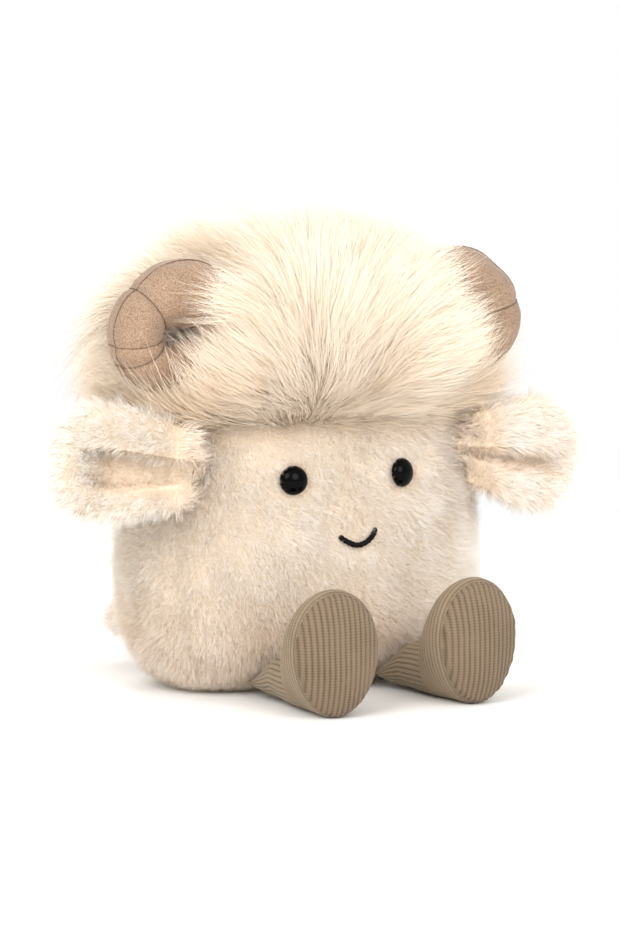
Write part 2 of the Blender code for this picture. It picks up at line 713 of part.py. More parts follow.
def ear_pivot(side):
    """The centre of the ear's round root, about which it flaps, beside the side seam."""
    angle = -SIDE_SEAM_LEFT_ANGLE if side > 0 else SIDE_SEAM_RIGHT_ANGLE - math.pi
    seat = EAR_LEFT_SEAT if side > 0 else EAR_RIGHT_SEAT
    point, away, _, _ = body_frame(angle, EAR_HEIGHT)
    return point + away * (SEAM_GAP + seat)


def ear_sheet(side, depth):
    """Rows along an ear, this far in front of the middle of its two cloths."""
    pivot, outward, backward, upward = ear_frame(side)
    lift = EAR_LEFT_LIFT if side > 0 else EAR_RIGHT_LIFT
    rows = []
    for along, height_share, fold_share in zip(EAR_ALONG_SHARES, EAR_HEIGHT_SHARES, EAR_FOLD_SHARES):
        fold = EAR_ROOT_FOLD * fold_share
        radius = 2.0 * EAR_HALF_HEIGHT * height_share / fold
        row = []
        for step in range(EAR_COLUMNS + 1):
            across = 2.0 * step / EAR_COLUMNS - 1.0
            turn = across * fold / 2.0
            forward = radius * (1.0 - math.cos(turn)) + depth * math.cos(turn)
            height = (radius - depth) * math.sin(turn)
            rounding = math.sqrt(max(0.0, EAR_ROOT_RADIUS**2 - height**2 - forward**2)) * (1.0 - along)
            out = (EAR_LENGTH - EAR_ROOT_RADIUS) * along - rounding
            out_lifted = out * math.cos(lift) - height * math.sin(lift)
            height_lifted = out * math.sin(lift) + height * math.cos(lift)
            row.append(pivot + outward * out_lifted - backward * forward + upward * height_lifted)
        rows.append(row)
    return rows, None, None


def make_ears():
    """Two folded ears: an outer cloth behind and an inner cloth in front, joined at their edges."""
    near, far = SEAM_GAP / 2, EAR_CLOTH
    for name, side in SIDES:
        prefix = "ear_" + name
        pivot = ear_pivot(side)
        shell_object(prefix + "_inner", PLUSH, ear_sheet(side, far), ear_sheet(side, near), False, pivot)
        shell_object(prefix + "_outer", PLUSH, ear_sheet(side, -near), ear_sheet(side, -far), False, pivot)


def limb_row(centre, sideways, upward, half_width, half_height, egg_share, columns):
    """One ring of a limb, wider above its middle by the egg share."""
    row = []
    for step in range(columns):
        angle = math.tau * step / columns
        across = half_width * math.cos(angle) * (1.0 + egg_share * math.sin(angle))
        row.append(centre + sideways * across + upward * half_height * math.sin(angle))
    return row


def inset_rows(rows, first_tip, last_tip, inset):
    """The same rows moved inwards by inset, square to the surface through them, and their last tip."""
    mesh = bmesh.new()
    vertices = add_sheet(mesh, rows, True, first_tip, last_tip)
    bmesh.ops.recalc_face_normals(mesh, faces=mesh.faces[:])
    mesh.normal_update()
    moved = [vertex.co - vertex.normal * inset for vertex in vertices]
    mesh.free()
    columns = len(rows[0])
    return [moved[index * columns: (index + 1) * columns] for index in range(len(rows))], moved[-1]


def row_middle(row):
    """The middle of a ring of points."""
    return sum(row, Vector()) / len(row)


def make_limb(prefix, finish, rows, parts, cloth, blind_rows, pivot):
    """Covers a limb with cloth, part by part, and fills it.

    rows go from the seam at the body to the far end, followed by the far tip. parts names each cloth with
    its first and last row. The first blind_rows rows are flat, with no room for filling. A limb of one
    cloth stays open where it is sewn in.
    """
    rings, tip = rows
    root = row_middle(rings[0])
    forward = (tip - root).normalized()
    inner_rings, inner_tip = inset_rows(rings, root, tip, cloth)
    filling_rings, filling_tip = inset_rows(rings, root, tip, cloth + SEAM_GAP)
    blind_ring = inner_rings[blind_rows]
    blind = row_middle(blind_ring) - forward * cloth / 2
    for index in range(blind_rows):
        drawn_in = (blind_rows - index) / (blind_rows + 1)
        inner_rings[index] = [point.lerp(blind, drawn_in) for point in blind_ring]
    last_row = len(rings) - 1
    filling = []
    for index, (part, first, last) in enumerate(parts):
        shift = forward * SEAM_GAP * index
        outer = [[point + shift for point in ring] for ring in rings[first: last + 1]]
        inner = [[point + shift for point in ring] for ring in inner_rings[first: last + 1]]
        tips = (root, blind) if first == 0 < len(parts) - 1 else (None, None)
        ends = (tip + shift, inner_tip + shift) if last == last_row else (None, None)
        outer_sheet = (outer, tips[0], ends[0])
        inner_sheet = (inner, tips[1], ends[1])
        shell_object(prefix + part, finish, outer_sheet, inner_sheet, True, pivot)
        start = blind_rows + 1 if first == 0 else first
        end = last + 1 if last == last_row else last
        filling += [[point + shift for point in ring] for ring in filling_rings[start: end]]
    mesh = solid_mesh(filling, row_middle(filling[0]), filling_tip + shift)
    add_object(prefix + "_stuffing", mesh, FILLING, pivot)


def leg_pivot(side):
    """The middle of a leg's hip seam, and the level direction of that seam."""
    angle = skin_angle(side * LEG_OUT, LEG_ROOT_HEIGHT)
    point, outward, level, _ = body_frame(angle, LEG_ROOT_HEIGHT)
    return point + outward * (SEAM_GAP + TUBE_HALF_HEIGHT * TUBE_HEIGHT_SHARES[0]), level


def leg_stations():
    """Every ring of a leg, from hip to sole: share along, half width, half height and egg share."""
    tube = zip(TUBE_ALONG_SHARES, TUBE_WIDTH_SHARES, TUBE_HEIGHT_SHARES)
    foot = zip(
        FOOT_ALONG_SHARES + SOLE_ALONG_SHARES,
        FOOT_WIDTH_SHARES + SOLE_WIDTH_SHARES,
        FOOT_HEIGHT_SHARES + SOLE_HEIGHT_SHARES,
    )
    stations = []
    for along, width, height in tube:
        stations.append((along, TUBE_HALF_WIDTH * width, TUBE_HALF_HEIGHT * height, 0.0))
    for along, width, height in foot:
        stations.append((along, FOOT_HALF_WIDTH * width, FOOT_HALF_HEIGHT * height, FOOT_EGG_SHARE))
    return stations


def leg_middle_height(along, half_height, root_height):
    """Height of a ring's middle: from the hip seam the leg comes down to lie on the floor."""
    low, high = LEG_RISE_SHARES
    lying = min(1.0, max(0.0, along - low) / (high - low))
    sole_start = FOOT_ALONG_SHARES[-1]
    lift = max(0.0, along - sole_start) / (1.0 - sole_start)
    resting = blend_between(max(half_height, TUBE_HALF_HEIGHT), FOOT_HALF_HEIGHT, lift)
    return blend_between(root_height, resting, lying)


def make_legs():
    """Two legs: a tube flat at the hip, a foot that stands up, its sole and the filling."""
    foot_start = len(TUBE_ALONG_SHARES) - 1
    sole_start = foot_start + len(FOOT_ALONG_SHARES)
    sole_end = sole_start + len(SOLE_ALONG_SHARES)
    parts = (("_tube", 0, foot_start), ("_foot", foot_start, sole_start), ("_sole", sole_start, sole_end))
    upward = Vector((0.0, 0.0, 1.0))
    for name, side in SIDES:
        pivot, seam = leg_pivot(side)
        forward = Vector((side * math.sin(LEG_SPLAY), -math.cos(LEG_SPLAY), 0.0))
        square = Vector((math.cos(LEG_SPLAY), side * math.sin(LEG_SPLAY), 0.0))
        rings = []
        for along, half_width, half_height, egg_share in leg_stations():
            turned = min(1.0, along / TUBE_ALONG_SHARES[-1])
            sideways = seam.lerp(square, turned).normalized()
            centre = pivot + forward * LEG_LENGTH * along
            centre.z = leg_middle_height(along, half_height, pivot.z)
            rings.append(limb_row(centre, sideways, upward, half_width, half_height, egg_share, LEG_COLUMNS))
        tip = pivot + forward * LEG_LENGTH
        tip.z = FOOT_HALF_HEIGHT
        make_limb("leg_" + name, CORDUROY, (rings, tip), parts, LEG_CLOTH, LEG_BLIND_ROWS, pivot)


def tail_pivot():
    """The middle of the tail's seam, on the centre back seam of the body."""
    point, outward, _, _ = body_frame(math.pi / 2, TAIL_HEIGHT)
    return point + outward * (SEAM_GAP + TAIL_HALF_WIDTH * TAIL_WIDTH_SHARES[0])


def make_tail():
    """The tail stub: one cloth, flat at its seam, and its filling."""
    pivot = tail_pivot()
    backward = Vector((-math.sin(TAIL_LEAN), math.cos(TAIL_LEAN), 0.0))
    square = Vector((math.cos(TAIL_LEAN), math.sin(TAIL_LEAN), 0.0))
    upward = Vector((0.0, 0.0, 1.0))
    drop = upward * -TAIL_DROOP
    rings = []
    for along, width, height in zip(TAIL_ALONG_SHARES, TAIL_WIDTH_SHARES, TAIL_HEIGHT_SHARES):
        centre = pivot + (backward * TAIL_LENGTH + drop) * along
        half_width = TAIL_HALF_WIDTH * width
        half_height = TAIL_HALF_HEIGHT * height
        rings.append(limb_row(centre, square, upward, half_width, half_height, 0.0, TAIL_COLUMNS))
    tip = pivot + backward * TAIL_LENGTH + drop
    parts = (("_cover", 0, len(rings) - 1),)
    make_limb("tail", PLUSH, (rings, tip), parts, TAIL_CLOTH, TAIL_BLIND_ROWS, pivot)


def build():
    """Models the whole toy."""
    clear_scene()
    panels = make_wall_panels()
    make_crown_and_base()
    make_pouch()
    make_body_stuffing(make_eyes(panels["face_panel"]))
    make_mouth()
    crown_room = add_cutter("crown_room", body_room())
    make_mane(crown_room)
    make_horns(crown_room)
    make_ears()
    make_legs()
    make_tail()


build()
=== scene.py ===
"""Looks of a sitting plush ram: short plush body, long-pile mane, suedette horns and corduroy legs.

Lengths are metres in the frame of the CAD model: +Z is up, the face looks along -Y, and the toy's left is
+X. Every soft form is a skin mesh built here from the CAD model's sizes, and its pile is real strands that a
Geometry Nodes tree grows on that skin.
"""

import json
import logging
import math
from dataclasses import dataclass
from enum import Enum

import bmesh
import bpy
import numpy as np
from mathutils import Matrix, Vector, noise

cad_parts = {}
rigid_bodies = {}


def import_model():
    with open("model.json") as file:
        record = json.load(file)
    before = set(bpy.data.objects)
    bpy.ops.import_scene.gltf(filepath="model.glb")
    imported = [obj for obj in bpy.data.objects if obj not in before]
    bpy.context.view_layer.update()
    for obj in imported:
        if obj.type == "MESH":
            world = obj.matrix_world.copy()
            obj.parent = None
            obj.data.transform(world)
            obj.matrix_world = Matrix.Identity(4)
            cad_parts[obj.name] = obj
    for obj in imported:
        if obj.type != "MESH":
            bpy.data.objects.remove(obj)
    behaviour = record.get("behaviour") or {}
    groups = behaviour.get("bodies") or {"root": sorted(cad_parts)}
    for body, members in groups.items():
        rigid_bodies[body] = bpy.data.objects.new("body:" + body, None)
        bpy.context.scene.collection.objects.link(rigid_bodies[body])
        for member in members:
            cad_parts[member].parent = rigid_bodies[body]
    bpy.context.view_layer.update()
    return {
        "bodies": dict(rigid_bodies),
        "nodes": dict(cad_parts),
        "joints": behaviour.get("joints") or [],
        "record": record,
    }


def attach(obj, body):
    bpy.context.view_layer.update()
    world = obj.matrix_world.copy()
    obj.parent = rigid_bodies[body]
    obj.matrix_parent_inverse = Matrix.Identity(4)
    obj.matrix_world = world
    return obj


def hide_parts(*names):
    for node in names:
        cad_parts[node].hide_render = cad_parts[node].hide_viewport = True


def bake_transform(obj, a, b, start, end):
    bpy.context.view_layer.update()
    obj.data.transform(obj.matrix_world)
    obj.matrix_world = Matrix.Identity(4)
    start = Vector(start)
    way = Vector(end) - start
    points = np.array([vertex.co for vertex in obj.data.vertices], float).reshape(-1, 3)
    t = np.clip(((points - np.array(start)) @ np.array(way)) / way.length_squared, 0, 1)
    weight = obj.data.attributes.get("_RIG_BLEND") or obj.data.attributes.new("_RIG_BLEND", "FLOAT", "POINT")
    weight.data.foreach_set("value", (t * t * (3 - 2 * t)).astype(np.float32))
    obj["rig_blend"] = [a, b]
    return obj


LOG = logging.getLogger("plush_ram")
MM = 0.001
BAKE_MAP = "OFBake"
KEPT = ("custom_normal", "sharp_face", "material_index", BAKE_MAP)
NodeTree = bpy.types.NodeTree
Node = bpy.types.Node
Object = bpy.types.Object
Material = bpy.types.Material
Socket = bpy.types.NodeSocket
Array = np.ndarray
DOWN = np.array([0.0, 0.0, -1.0])


class Side(Enum):
    """A side of the toy, with the sign of its X."""

    LEFT = 1.0
    RIGHT = -1.0

    @property
    def word(self) -> str:
        """The side's name, as the CAD model's nodes have it."""
        return self.name.lower()

    def pick(self, left: object, right: object) -> object:
        """Chooses the value that belongs to this side."""
        return left if self is Side.LEFT else right


# Helpers.


def linear_colour(code: str) -> tuple[float, float, float, float]:
    """Turns an sRGB hex value into a linear colour.

    Args:
        code: A colour such as "#c9ad93".

    Returns:
        Red, green, blue and alpha, linear.
    """
    parts = [int(code[place : place + 2], 16) / 255.0 for place in (1, 3, 5)]
    red, green, blue = [
        part / 12.92 if part <= 0.04045 else ((part + 0.055) / 1.055) ** 2.4 for part in parts
    ]
    return red, green, blue, 1.0


def add_node(tree: NodeTree, kind: str, inputs: dict | None = None, **settings: object) -> Node:
    """Adds a node with its settings and links.

    Args:
        tree: The tree that gets the node.
        kind: The node's type name.
        inputs: What feeds each input, by name or place: a socket to link, or a plain value.
        **settings: The node's own properties.

    Returns:
        The new node.
    """
    made = tree.nodes.new(kind)
    for name, value in settings.items():
        setattr(made, name, value)
    for key, value in (inputs or {}).items():
        if isinstance(value, Socket):
            tree.links.new(value, made.inputs[key])
        else:
            made.inputs[key].default_value = value
    return made


def number(tree: NodeTree, operation: str, *values: object) -> Socket:
    """Adds a number operation and gives its output."""
    return add_node(tree, "ShaderNodeMath", dict(enumerate(values)), operation=operation).outputs[0]


def smooth_step(low: float, high: float, value: Array) -> Array:
    """Rises smoothly from 0 at low to 1 at high."""
    share = np.clip((value - low) / (high - low), 0.0, 1.0)
    return share * share * (3.0 - 2.0 * share)


def curve_through(values: tuple[float, ...], place: Array) -> Array:
    """Reads a smooth curve through evenly spaced values.

    Args:
        values: The values that the curve passes.
        place: Where to read it, from 0 at the first value to 1 at the last.

    Returns:
        The curve's values at those places.
    """
    table = np.asarray(values, float)
    step = np.clip(np.asarray(place, float), 0.0, 1.0) * (len(table) - 1)
    index = np.minimum(step.astype(int), len(table) - 2)
    part = step - index
    before = table[np.maximum(index - 1, 0)]
    first, second = table[index], table[index + 1]
    after = table[np.minimum(index + 2, len(table) - 1)]
    slope_first, slope_second = (second - before) / 2, (after - first) / 2
    return (
        first * (2 * part**3 - 3 * part**2 + 1)
        + slope_first * (part**3 - 2 * part**2 + part)
        + second * (3 * part**2 - 2 * part**3)
        + slope_second * (part**3 - part**2)
    )


def signed_power(value: Array, power: float) -> Array:
    """Raises the value's size to a power and keeps its sign."""
    return np.sign(value) * np.abs(value) ** power


def unit(vectors: Array) -> Array:
    """Gives vectors a length of 1."""
    return vectors / np.maximum(np.linalg.norm(vectors, axis=-1, keepdims=True), 1e-9)


def hump(value: Array, middle: float | Array, width: float) -> Array:
    """Falls smoothly from 1 at the middle to nearly 0 at twice the width from it."""
    return np.exp(-(((value - middle) / width) ** 2))


def whole_turn(count: int) -> Array:
    """Gives that many angles, evenly spaced over one turn."""
    return np.linspace(0.0, math.tau, count, endpoint=False)


def soft_noise(points: Array, grain: float, shift: float = 0.0) -> Array:
    """Reads smooth noise at points.

    Args:
        points: Places, one per row.
        grain: The size of the noise's patches, in metres.
        shift: Moves the noise, so that two readings differ.

    Returns:
        Values from about -1 to 1.
    """
    offset = Vector((shift, 1.7 * shift, -0.6 * shift))
    return np.array([noise.noise(Vector(point / grain) + offset) for point in points])


def grid_faces(rows: int, columns: int, around: bool) -> list[tuple[int, ...]]:
    """Lists the faces of a grid of points.

    Args:
        rows: How many rows of points.
        columns: How many points in a row.
        around: Whether each row closes on itself.

    Returns:
        Four point numbers for each face.
    """
    last = columns if around else columns - 1
    faces = []
    for row in range(rows - 1):
        for column in range(last):
            following = (column + 1) % columns
            near, far = row * columns, (row + 1) * columns
            faces.append((near + column, near + following, far + following, far + column))
    return faces


def mesh_object(name: str, points: Array, faces: list[tuple[int, ...]], smooth: bool = True) -> Object:
    """Makes a mesh object with its faces pointing outwards.

    Args:
        name: The piece's name.
        points: Its vertices, one per row.
        faces: Its faces.
        smooth: Whether it is shaded smooth.

    Returns:
        The object, linked to the scene, at the origin.
    """
    data = bpy.data.meshes.new(name)
    data.from_pydata([tuple(point) for point in points], [], faces)
    work = bmesh.new()
    work.from_mesh(data)
    bmesh.ops.recalc_face_normals(work, faces=work.faces[:])
    work.to_mesh(data)
    work.free()
    if smooth:
        data.shade_smooth()
    made = bpy.data.objects.new(name, data)
    bpy.context.scene.collection.objects.link(made)
    return made


def closed_tube(name: str, points: Array, columns: int, ends: Array) -> Object:
    """Makes a mesh of rings, closed at the first and the last one.

    Args:
        name: The piece's name.
        points: The rings' points, ring by ring.
        columns: How many points in a ring.
        ends: The two points that close the first and the last ring.

    Returns:
        The object.
    """
    rows, count = len(points) // columns, len(points)
    faces = grid_faces(rows, columns, True)
    last = count - columns
    for column in range(columns):
        following = (column + 1) % columns
        faces.append((column, following, count))
        faces.append((last + column, last + following, count + 1))
    return mesh_object(name, np.concatenate([points, ends]), faces)


def vertex_normals(piece: Object) -> Array:
    """Reads a mesh's vertex normals, one per row."""
    normals = np.zeros(len(piece.data.vertices) * 3, np.float32)
    piece.data.vertex_normals.foreach_get("vector", normals)
    return normals.reshape(-1, 3).astype(float)


def vertex_places(piece: Object) -> Array:
    """Reads a mesh's vertices, one per row."""
    places = np.zeros(len(piece.data.vertices) * 3, np.float32)
    piece.data.vertices.foreach_get("co", places)
    return places.reshape(-1, 3).astype(float)


def store(piece: Object, name: str, values: Array) -> None:
    """Keeps one number or one vector for each vertex of a mesh."""
    kind, field = ("FLOAT_VECTOR", "vector") if values.ndim == 2 else ("FLOAT", "value")
    attribute = piece.data.attributes.new(name, kind, "POINT")
    attribute.data.foreach_set(field, values.astype(np.float32).ravel())


def finished_mesh(piece: Object, name: str) -> Object:
    """Turns a piece with a live Geometry Nodes modifier into a plain mesh piece.

    Args:
        piece: The object that carries the modifier. It is removed with its mesh.
        name: The plain piece's name.

    Returns:
        The plain piece.
    """
    graph = bpy.context.evaluated_depsgraph_get()
    data = bpy.data.meshes.new_from_object(piece.evaluated_get(graph), depsgraph=graph)
    for attribute in list(data.attributes):
        if not attribute.is_required and not attribute.is_internal and attribute.name not in KEPT:
            data.attributes.remove(attribute)
    made = bpy.data.objects.new(name, data)
    bpy.context.scene.collection.objects.link(made)
    old = piece.data
    bpy.data.objects.remove(piece)
    bpy.data.meshes.remove(old)
    return made


def open_tree(name: str, numbers: list[str], counts: list[str]) -> NodeTree:
    """Starts a Geometry Nodes tree that takes a mesh, values and a material, and gives a mesh.

    Args:
        name: The tree's name.
        numbers: Names of its inputs that are numbers.
        counts: Names of its inputs that are whole numbers.

    Returns:
        The tree.
    """
    tree = bpy.data.node_groups.new(name, "GeometryNodeTree")
    sockets = [("Geometry", "Geometry"), *((socket, "Float") for socket in numbers)]
    sockets += [*((socket, "Int") for socket in counts), ("Material", "Material")]
    for socket, kind in sockets:
        tree.interface.new_socket(socket, in_out="INPUT", socket_type="NodeSocket" + kind)
    tree.interface.new_socket("Geometry", in_out="OUTPUT", socket_type="NodeSocketGeometry")
    return tree


def close_tree(tree: NodeTree, geometry: Socket, material: Socket) -> None:
    """Ends a Geometry Nodes tree: gives what it made its material and puts it out."""
    inputs = {"Geometry": geometry, "Material": material}
    dressed = add_node(tree, "GeometryNodeSetMaterial", inputs).outputs[0]
    add_node(tree, "NodeGroupOutput", {0: dressed})


def run_tree(tree: NodeTree, data: bpy.types.Mesh, name: str, values: dict[str, object]) -> Object:
    """Runs a Geometry Nodes tree on a mesh.

    Args:
        tree: The tree.
        data: The mesh that it takes, which is used up.
        name: The name of the piece that it makes.
        values: What its inputs get, by name.

    Returns:
        What it makes, as a plain mesh piece.
    """
    carrier = bpy.data.objects.new(name + "_carrier", data)
    bpy.context.scene.collection.objects.link(carrier)
    modifier = carrier.modifiers.new(tree.name, "NODES")
    modifier.node_group = tree
    for socket in tree.interface.items_tree:
        if socket.in_out == "INPUT" and socket.name in values:
            modifier[socket.identifier] = values[socket.name]
    return finished_mesh(carrier, name)


# Finishes.


class Surface:
    """A material while it is built: its node tree and its Principled shader."""

    def __init__(self, name: str, values: dict[str, object]) -> None:
        """Starts the material.

        Args:
            name: The material's name.
            values: Plain values for its shader's inputs.
        """
        self.material = bpy.data.materials.new(name)
        self.material.use_nodes = True
        self.tree = self.material.node_tree
        self.shader = self.tree.nodes["Principled BSDF"]
        for key, value in values.items():
            self.shader.inputs[key].default_value = value

    def texture(self, kind: str, inputs: dict[str, float], **settings: object) -> Node:
        """Adds a texture that reads the object's own coordinates."""
        place = add_node(self.tree, "ShaderNodeTexCoord").outputs["Object"]
        return add_node(self.tree, "ShaderNodeTex" + kind, {"Vector": place, **inputs}, **settings)

    def noise(self, grain: float, detail: float = 2.0, roughness: float = 0.5) -> Socket:
        """Adds a noise whose patches are as large as the grain, and gives its value."""
        inputs = {"Scale": 1.0 / grain, "Detail": detail, "Roughness": roughness}
        return self.texture("Noise", inputs).outputs["Fac"]

    def attribute(self, name: str) -> Socket:
        """Reads a number that the mesh keeps."""
        return add_node(self.tree, "ShaderNodeAttribute", attribute_name=name).outputs["Fac"]

    def ramp(self, value: Socket, *stops: tuple[float, str]) -> Socket:
        """Adds a colour ramp.

        Args:
            value: What picks the colour.
            *stops: Each colour's place and hex value, from low to high.

        Returns:
            The colour.
        """
        made = add_node(self.tree, "ShaderNodeValToRGB", {0: value})
        elements = made.color_ramp.elements
        for index, (place, code) in ((0, stops[0]), (1, stops[-1])):
            elements[index].position, elements[index].color = place, linear_colour(code)
        for place, code in stops[1:-1]:
            elements.new(place).color = linear_colour(code)
        return made.outputs[0]

    def colour(self, value: Socket) -> None:
        """Gives the shader its colour."""
        self.tree.links.new(value, self.shader.inputs["Base Color"])

    def bump(self, height: Socket, strength: float, distance: float, invert: bool = False) -> None:
        """Gives the shader relief that is too fine for the mesh.

        Args:
            height: Where it is high.
            strength: How strongly it shows, from 0 to 1.
            distance: How high it is.
            invert: Whether high and low change places.
        """
        inputs = {"Height": height, "Strength": strength, "Distance": distance}
        made = add_node(self.tree, "ShaderNodeBump", inputs, invert=invert)
        self.tree.links.new(made.outputs[0], self.shader.inputs["Normal"])


@dataclass(frozen=True)
class PileFinish:
    """Acrylic pile of a plush fabric: fine matt fibres, warmer at their roots and pale at their tips."""

    name: str
    root: str
    body: str
    tip: str
    warm_root: str
    warm_tip: str
    body_share: float = 0.35
    tip_share: float = 0.85
    roughness: float = 0.9
    sheen: float = 0.15

    def material(self) -> Material:
        """Builds the material: the strand map's height picks root to tip, its width picks the shade."""
        values = {"Roughness": self.roughness, "Sheen Weight": self.sheen, "Sheen Roughness": 0.5}
        surface = Surface(self.name, {**values, "Specular IOR Level": 0.2})
        chart = add_node(surface.tree, "ShaderNodeUVMap", uv_map=BAKE_MAP).outputs[0]
        shade, along = add_node(surface.tree, "ShaderNodeSeparateXYZ", {0: chart}).outputs[:2]
        pale, warm = (
            surface.ramp(along, (0.0, root), (self.body_share, body), (self.tip_share, tip))
            for root, body, tip in (
                (self.root, self.body, self.tip),
                (self.warm_root, self.warm_tip, self.warm_tip),
            )
        )
        mixed = add_node(surface.tree, "ShaderNodeMix", {0: shade, 6: pale, 7: warm}, data_type="RGBA")
        surface.colour(mixed.outputs[2])
        return surface.material


@dataclass(frozen=True)
class KnitFinish:
    """Knitted polyester backing or lining: fine rows of loops, seen as a close, matt grain."""

    name: str
    colour: str
    shadow: str
    loop: float = 0.9 * MM

    def material(self) -> Material:
        """Builds the material from close cells, one for each loop."""
        surface = Surface(self.name, {"Roughness": 0.92})
        loops = surface.texture("Voronoi", {"Scale": 1.0 / self.loop}).outputs["Distance"]
        surface.colour(surface.ramp(loops, (0.0, self.colour), (1.0, self.shadow)))
        surface.bump(loops, 0.5, 0.1 * MM, invert=True)
        return surface.material


@dataclass(frozen=True)
class SuedetteFinish:
    """Brushed polyester suedette: short nap that lies in small tufts, so that it speckles."""

    name: str = "brushed_suedette"
    pale: str = "#b59d84"
    ground: str = "#9e836c"
    fleck: str = "#836654"
    nap: float = 0.42 * MM
    patch: float = 12.0 * MM
    patch_shade: tuple[float, float] = (0.9, 1.08)

    def material(self) -> Material:
        """Builds the material from fine noise for the nap and broad noise for its rubbed patches."""
        values = {"Roughness": 0.88, "Sheen Weight": 0.2, "Specular IOR Level": 0.25}
        surface = Surface(self.name, values)
        nap = surface.noise(self.nap, detail=3.0, roughness=0.7)
        speckle = surface.ramp(nap, (0.36, self.fleck), (0.5, self.ground), (0.66, self.pale))
        dark, bright = self.patch_shade
        rubbed = {0: surface.noise(self.patch), 1: 0.3, 2: 0.7, 3: dark, 4: bright}
        lit = add_node(surface.tree, "ShaderNodeMapRange", rubbed).outputs[0]
        shaded = {0: speckle, "Scale": lit}
        surface.colour(add_node(surface.tree, "ShaderNodeVectorMath", shaded, operation="SCALE").outputs[0])
        surface.bump(nap, 0.6, 0.25 * MM)
        return surface.material


@dataclass(frozen=True)
class CorduroyFinish:
    """Cotton needlecord: raised wales; the grooves are darker, partly woven ground and partly painted shade.
    """

    name: str = "needlecord"
    crest: str = "#95836c"
    slope: str = "#82725c"
    groove: str = "#6a5a47"
    fibre: float = 0.35 * MM
    patch: float = 9.0 * MM
    unevenness: float = 0.7
    weave: float = 0.2

    def material(self) -> Material:
        """Builds the material: the mesh's own wale height picks groove to crest, noise adds the nap."""
        surface = Surface(self.name, {"Roughness": 0.9, "Sheen Weight": 0.15, "Specular IOR Level": 0.2})
        tree, share = surface.tree, self.unevenness
        nap, worn = surface.noise(self.fibre), surface.noise(self.patch)
        fine, broad = (number(tree, "MULTIPLY_ADD", value, share, -share / 2) for value in (nap, worn))
        turn = number(tree, "MULTIPLY", surface.attribute("pick"), math.tau)
        woven = number(tree, "MULTIPLY_ADD", number(tree, "SINE", turn), self.weave, fine)
        uneven = number(tree, "ADD", woven, broad)
        height = number(tree, "ADD", surface.attribute("wale"), uneven)
        # Partly painted shade: the colour darkens from crest to groove with the wale's height.
        surface.colour(surface.ramp(height, (0.05, self.groove), (0.5, self.slope), (0.95, self.crest)))
        surface.bump(nap, 0.5, 0.12 * MM)
        return surface.material


@dataclass(frozen=True)
class PlasticFinish:
    """Moulded plastic: an even colour, with faint unevenness left by the mould."""

    name: str
    colour: str
    roughness: float
    specular: float = 0.5
    grain: float = 1.5 * MM
    relief: float = 0.02 * MM

    def material(self) -> Material:
        """Builds the material."""
        values = {"Base Color": linear_colour(self.colour), "Roughness": self.roughness}
        surface = Surface(self.name, {**values, "Specular IOR Level": self.specular})
        surface.bump(surface.noise(self.grain), 0.1, self.relief)
        return surface.material


@dataclass(frozen=True)
class ThreadFinish:
    """Spun polyester sewing thread: plies that twist round each other and catch little light."""

    name: str
    colour: str
    glint: str
    ply: float = 0.4 * MM

    def material(self) -> Material:
        """Builds the material from slanted bands for the plies."""
        surface = Surface(self.name, {"Roughness": 0.85, "Specular IOR Level": 0.1})
        inputs = {"Scale": 0.3 / self.ply, "Distortion": 1.0}
        plies = surface.texture("Wave", inputs, bands_direction="DIAGONAL").outputs["Fac"]
        surface.colour(surface.ramp(plies, (0.0, self.colour), (1.0, self.glint)))
        surface.bump(plies, 0.6, 0.1 * MM)
        return surface.material


BODY_PILE = PileFinish(
    name="short_plush_pile",
    root="#f8eee1",
    body="#fdf6ed",
    tip="#fffcf8",
    warm_root="#e2c8aa",
    warm_tip="#f5e4d1",
)
MANE_PILE = PileFinish(
    name="long_mane_pile",
    root="#f8e6cd",
    body="#faecd9",
    tip="#faf0e2",
    warm_root="#eecfa9",
    warm_tip="#f9e4c9",
)
BACKING = KnitFinish("pile_backing_knit", "#f4e7d4", "#e6d3b8")
FILLING = KnitFinish("fibre_filling", "#f2f1ee", "#d9d8d3", 2.2 * MM)
LINING = KnitFinish("pouch_lining_weave", "#dddbd4", "#bcb9b0", 0.7 * MM)
SUEDETTE = SuedetteFinish()
CORDUROY = CorduroyFinish()
# Painted shade: a darker copy of the needlecord for the soles, the same cloth with its nap turned from the
# light.
SOLE_CORDUROY_PAINTED_SHADE = CorduroyFinish("needlecord_against_nap", "#826f5b", "#71614d", "#5d4e3c")
BEAD = PlasticFinish("black_acrylic_bead", "#040404", 0.1, specular=0.07)
WASHER = PlasticFinish("natural_nylon", "#e4e3de", 0.45)
PELLET = PlasticFinish("polyethylene_pellets", "#cfd2d4", 0.4, grain=3.0 * MM, relief=1.2 * MM)
MOUTH_THREAD = ThreadFinish("black_sewing_thread", "#0c0a09", "#1f1a17")
RIDGE_THREAD = ThreadFinish("brown_sewing_thread", "#66503f", "#8a705b")


# Pile.


@dataclass(frozen=True)
class PileCut:
    """How one pile is cut and brushed.

    Strands and locks are counted per square metre, and width is in metres. Lift, lean, sweep, droop, spread,
    frizz and fall are shares of a strand's length. Gather is how much of the way to its lock's middle a tip
    is drawn, and soft is how much of the skin's own normal the strands take.
    """

    strands: float
    locks: float
    width: float
    steps: int
    lift: float
    lean: float
    sweep: float
    droop: float
    spread: float
    frizz: float
    gather: float
    fall: float
    soft: float = 0.75
    seed: int = 1


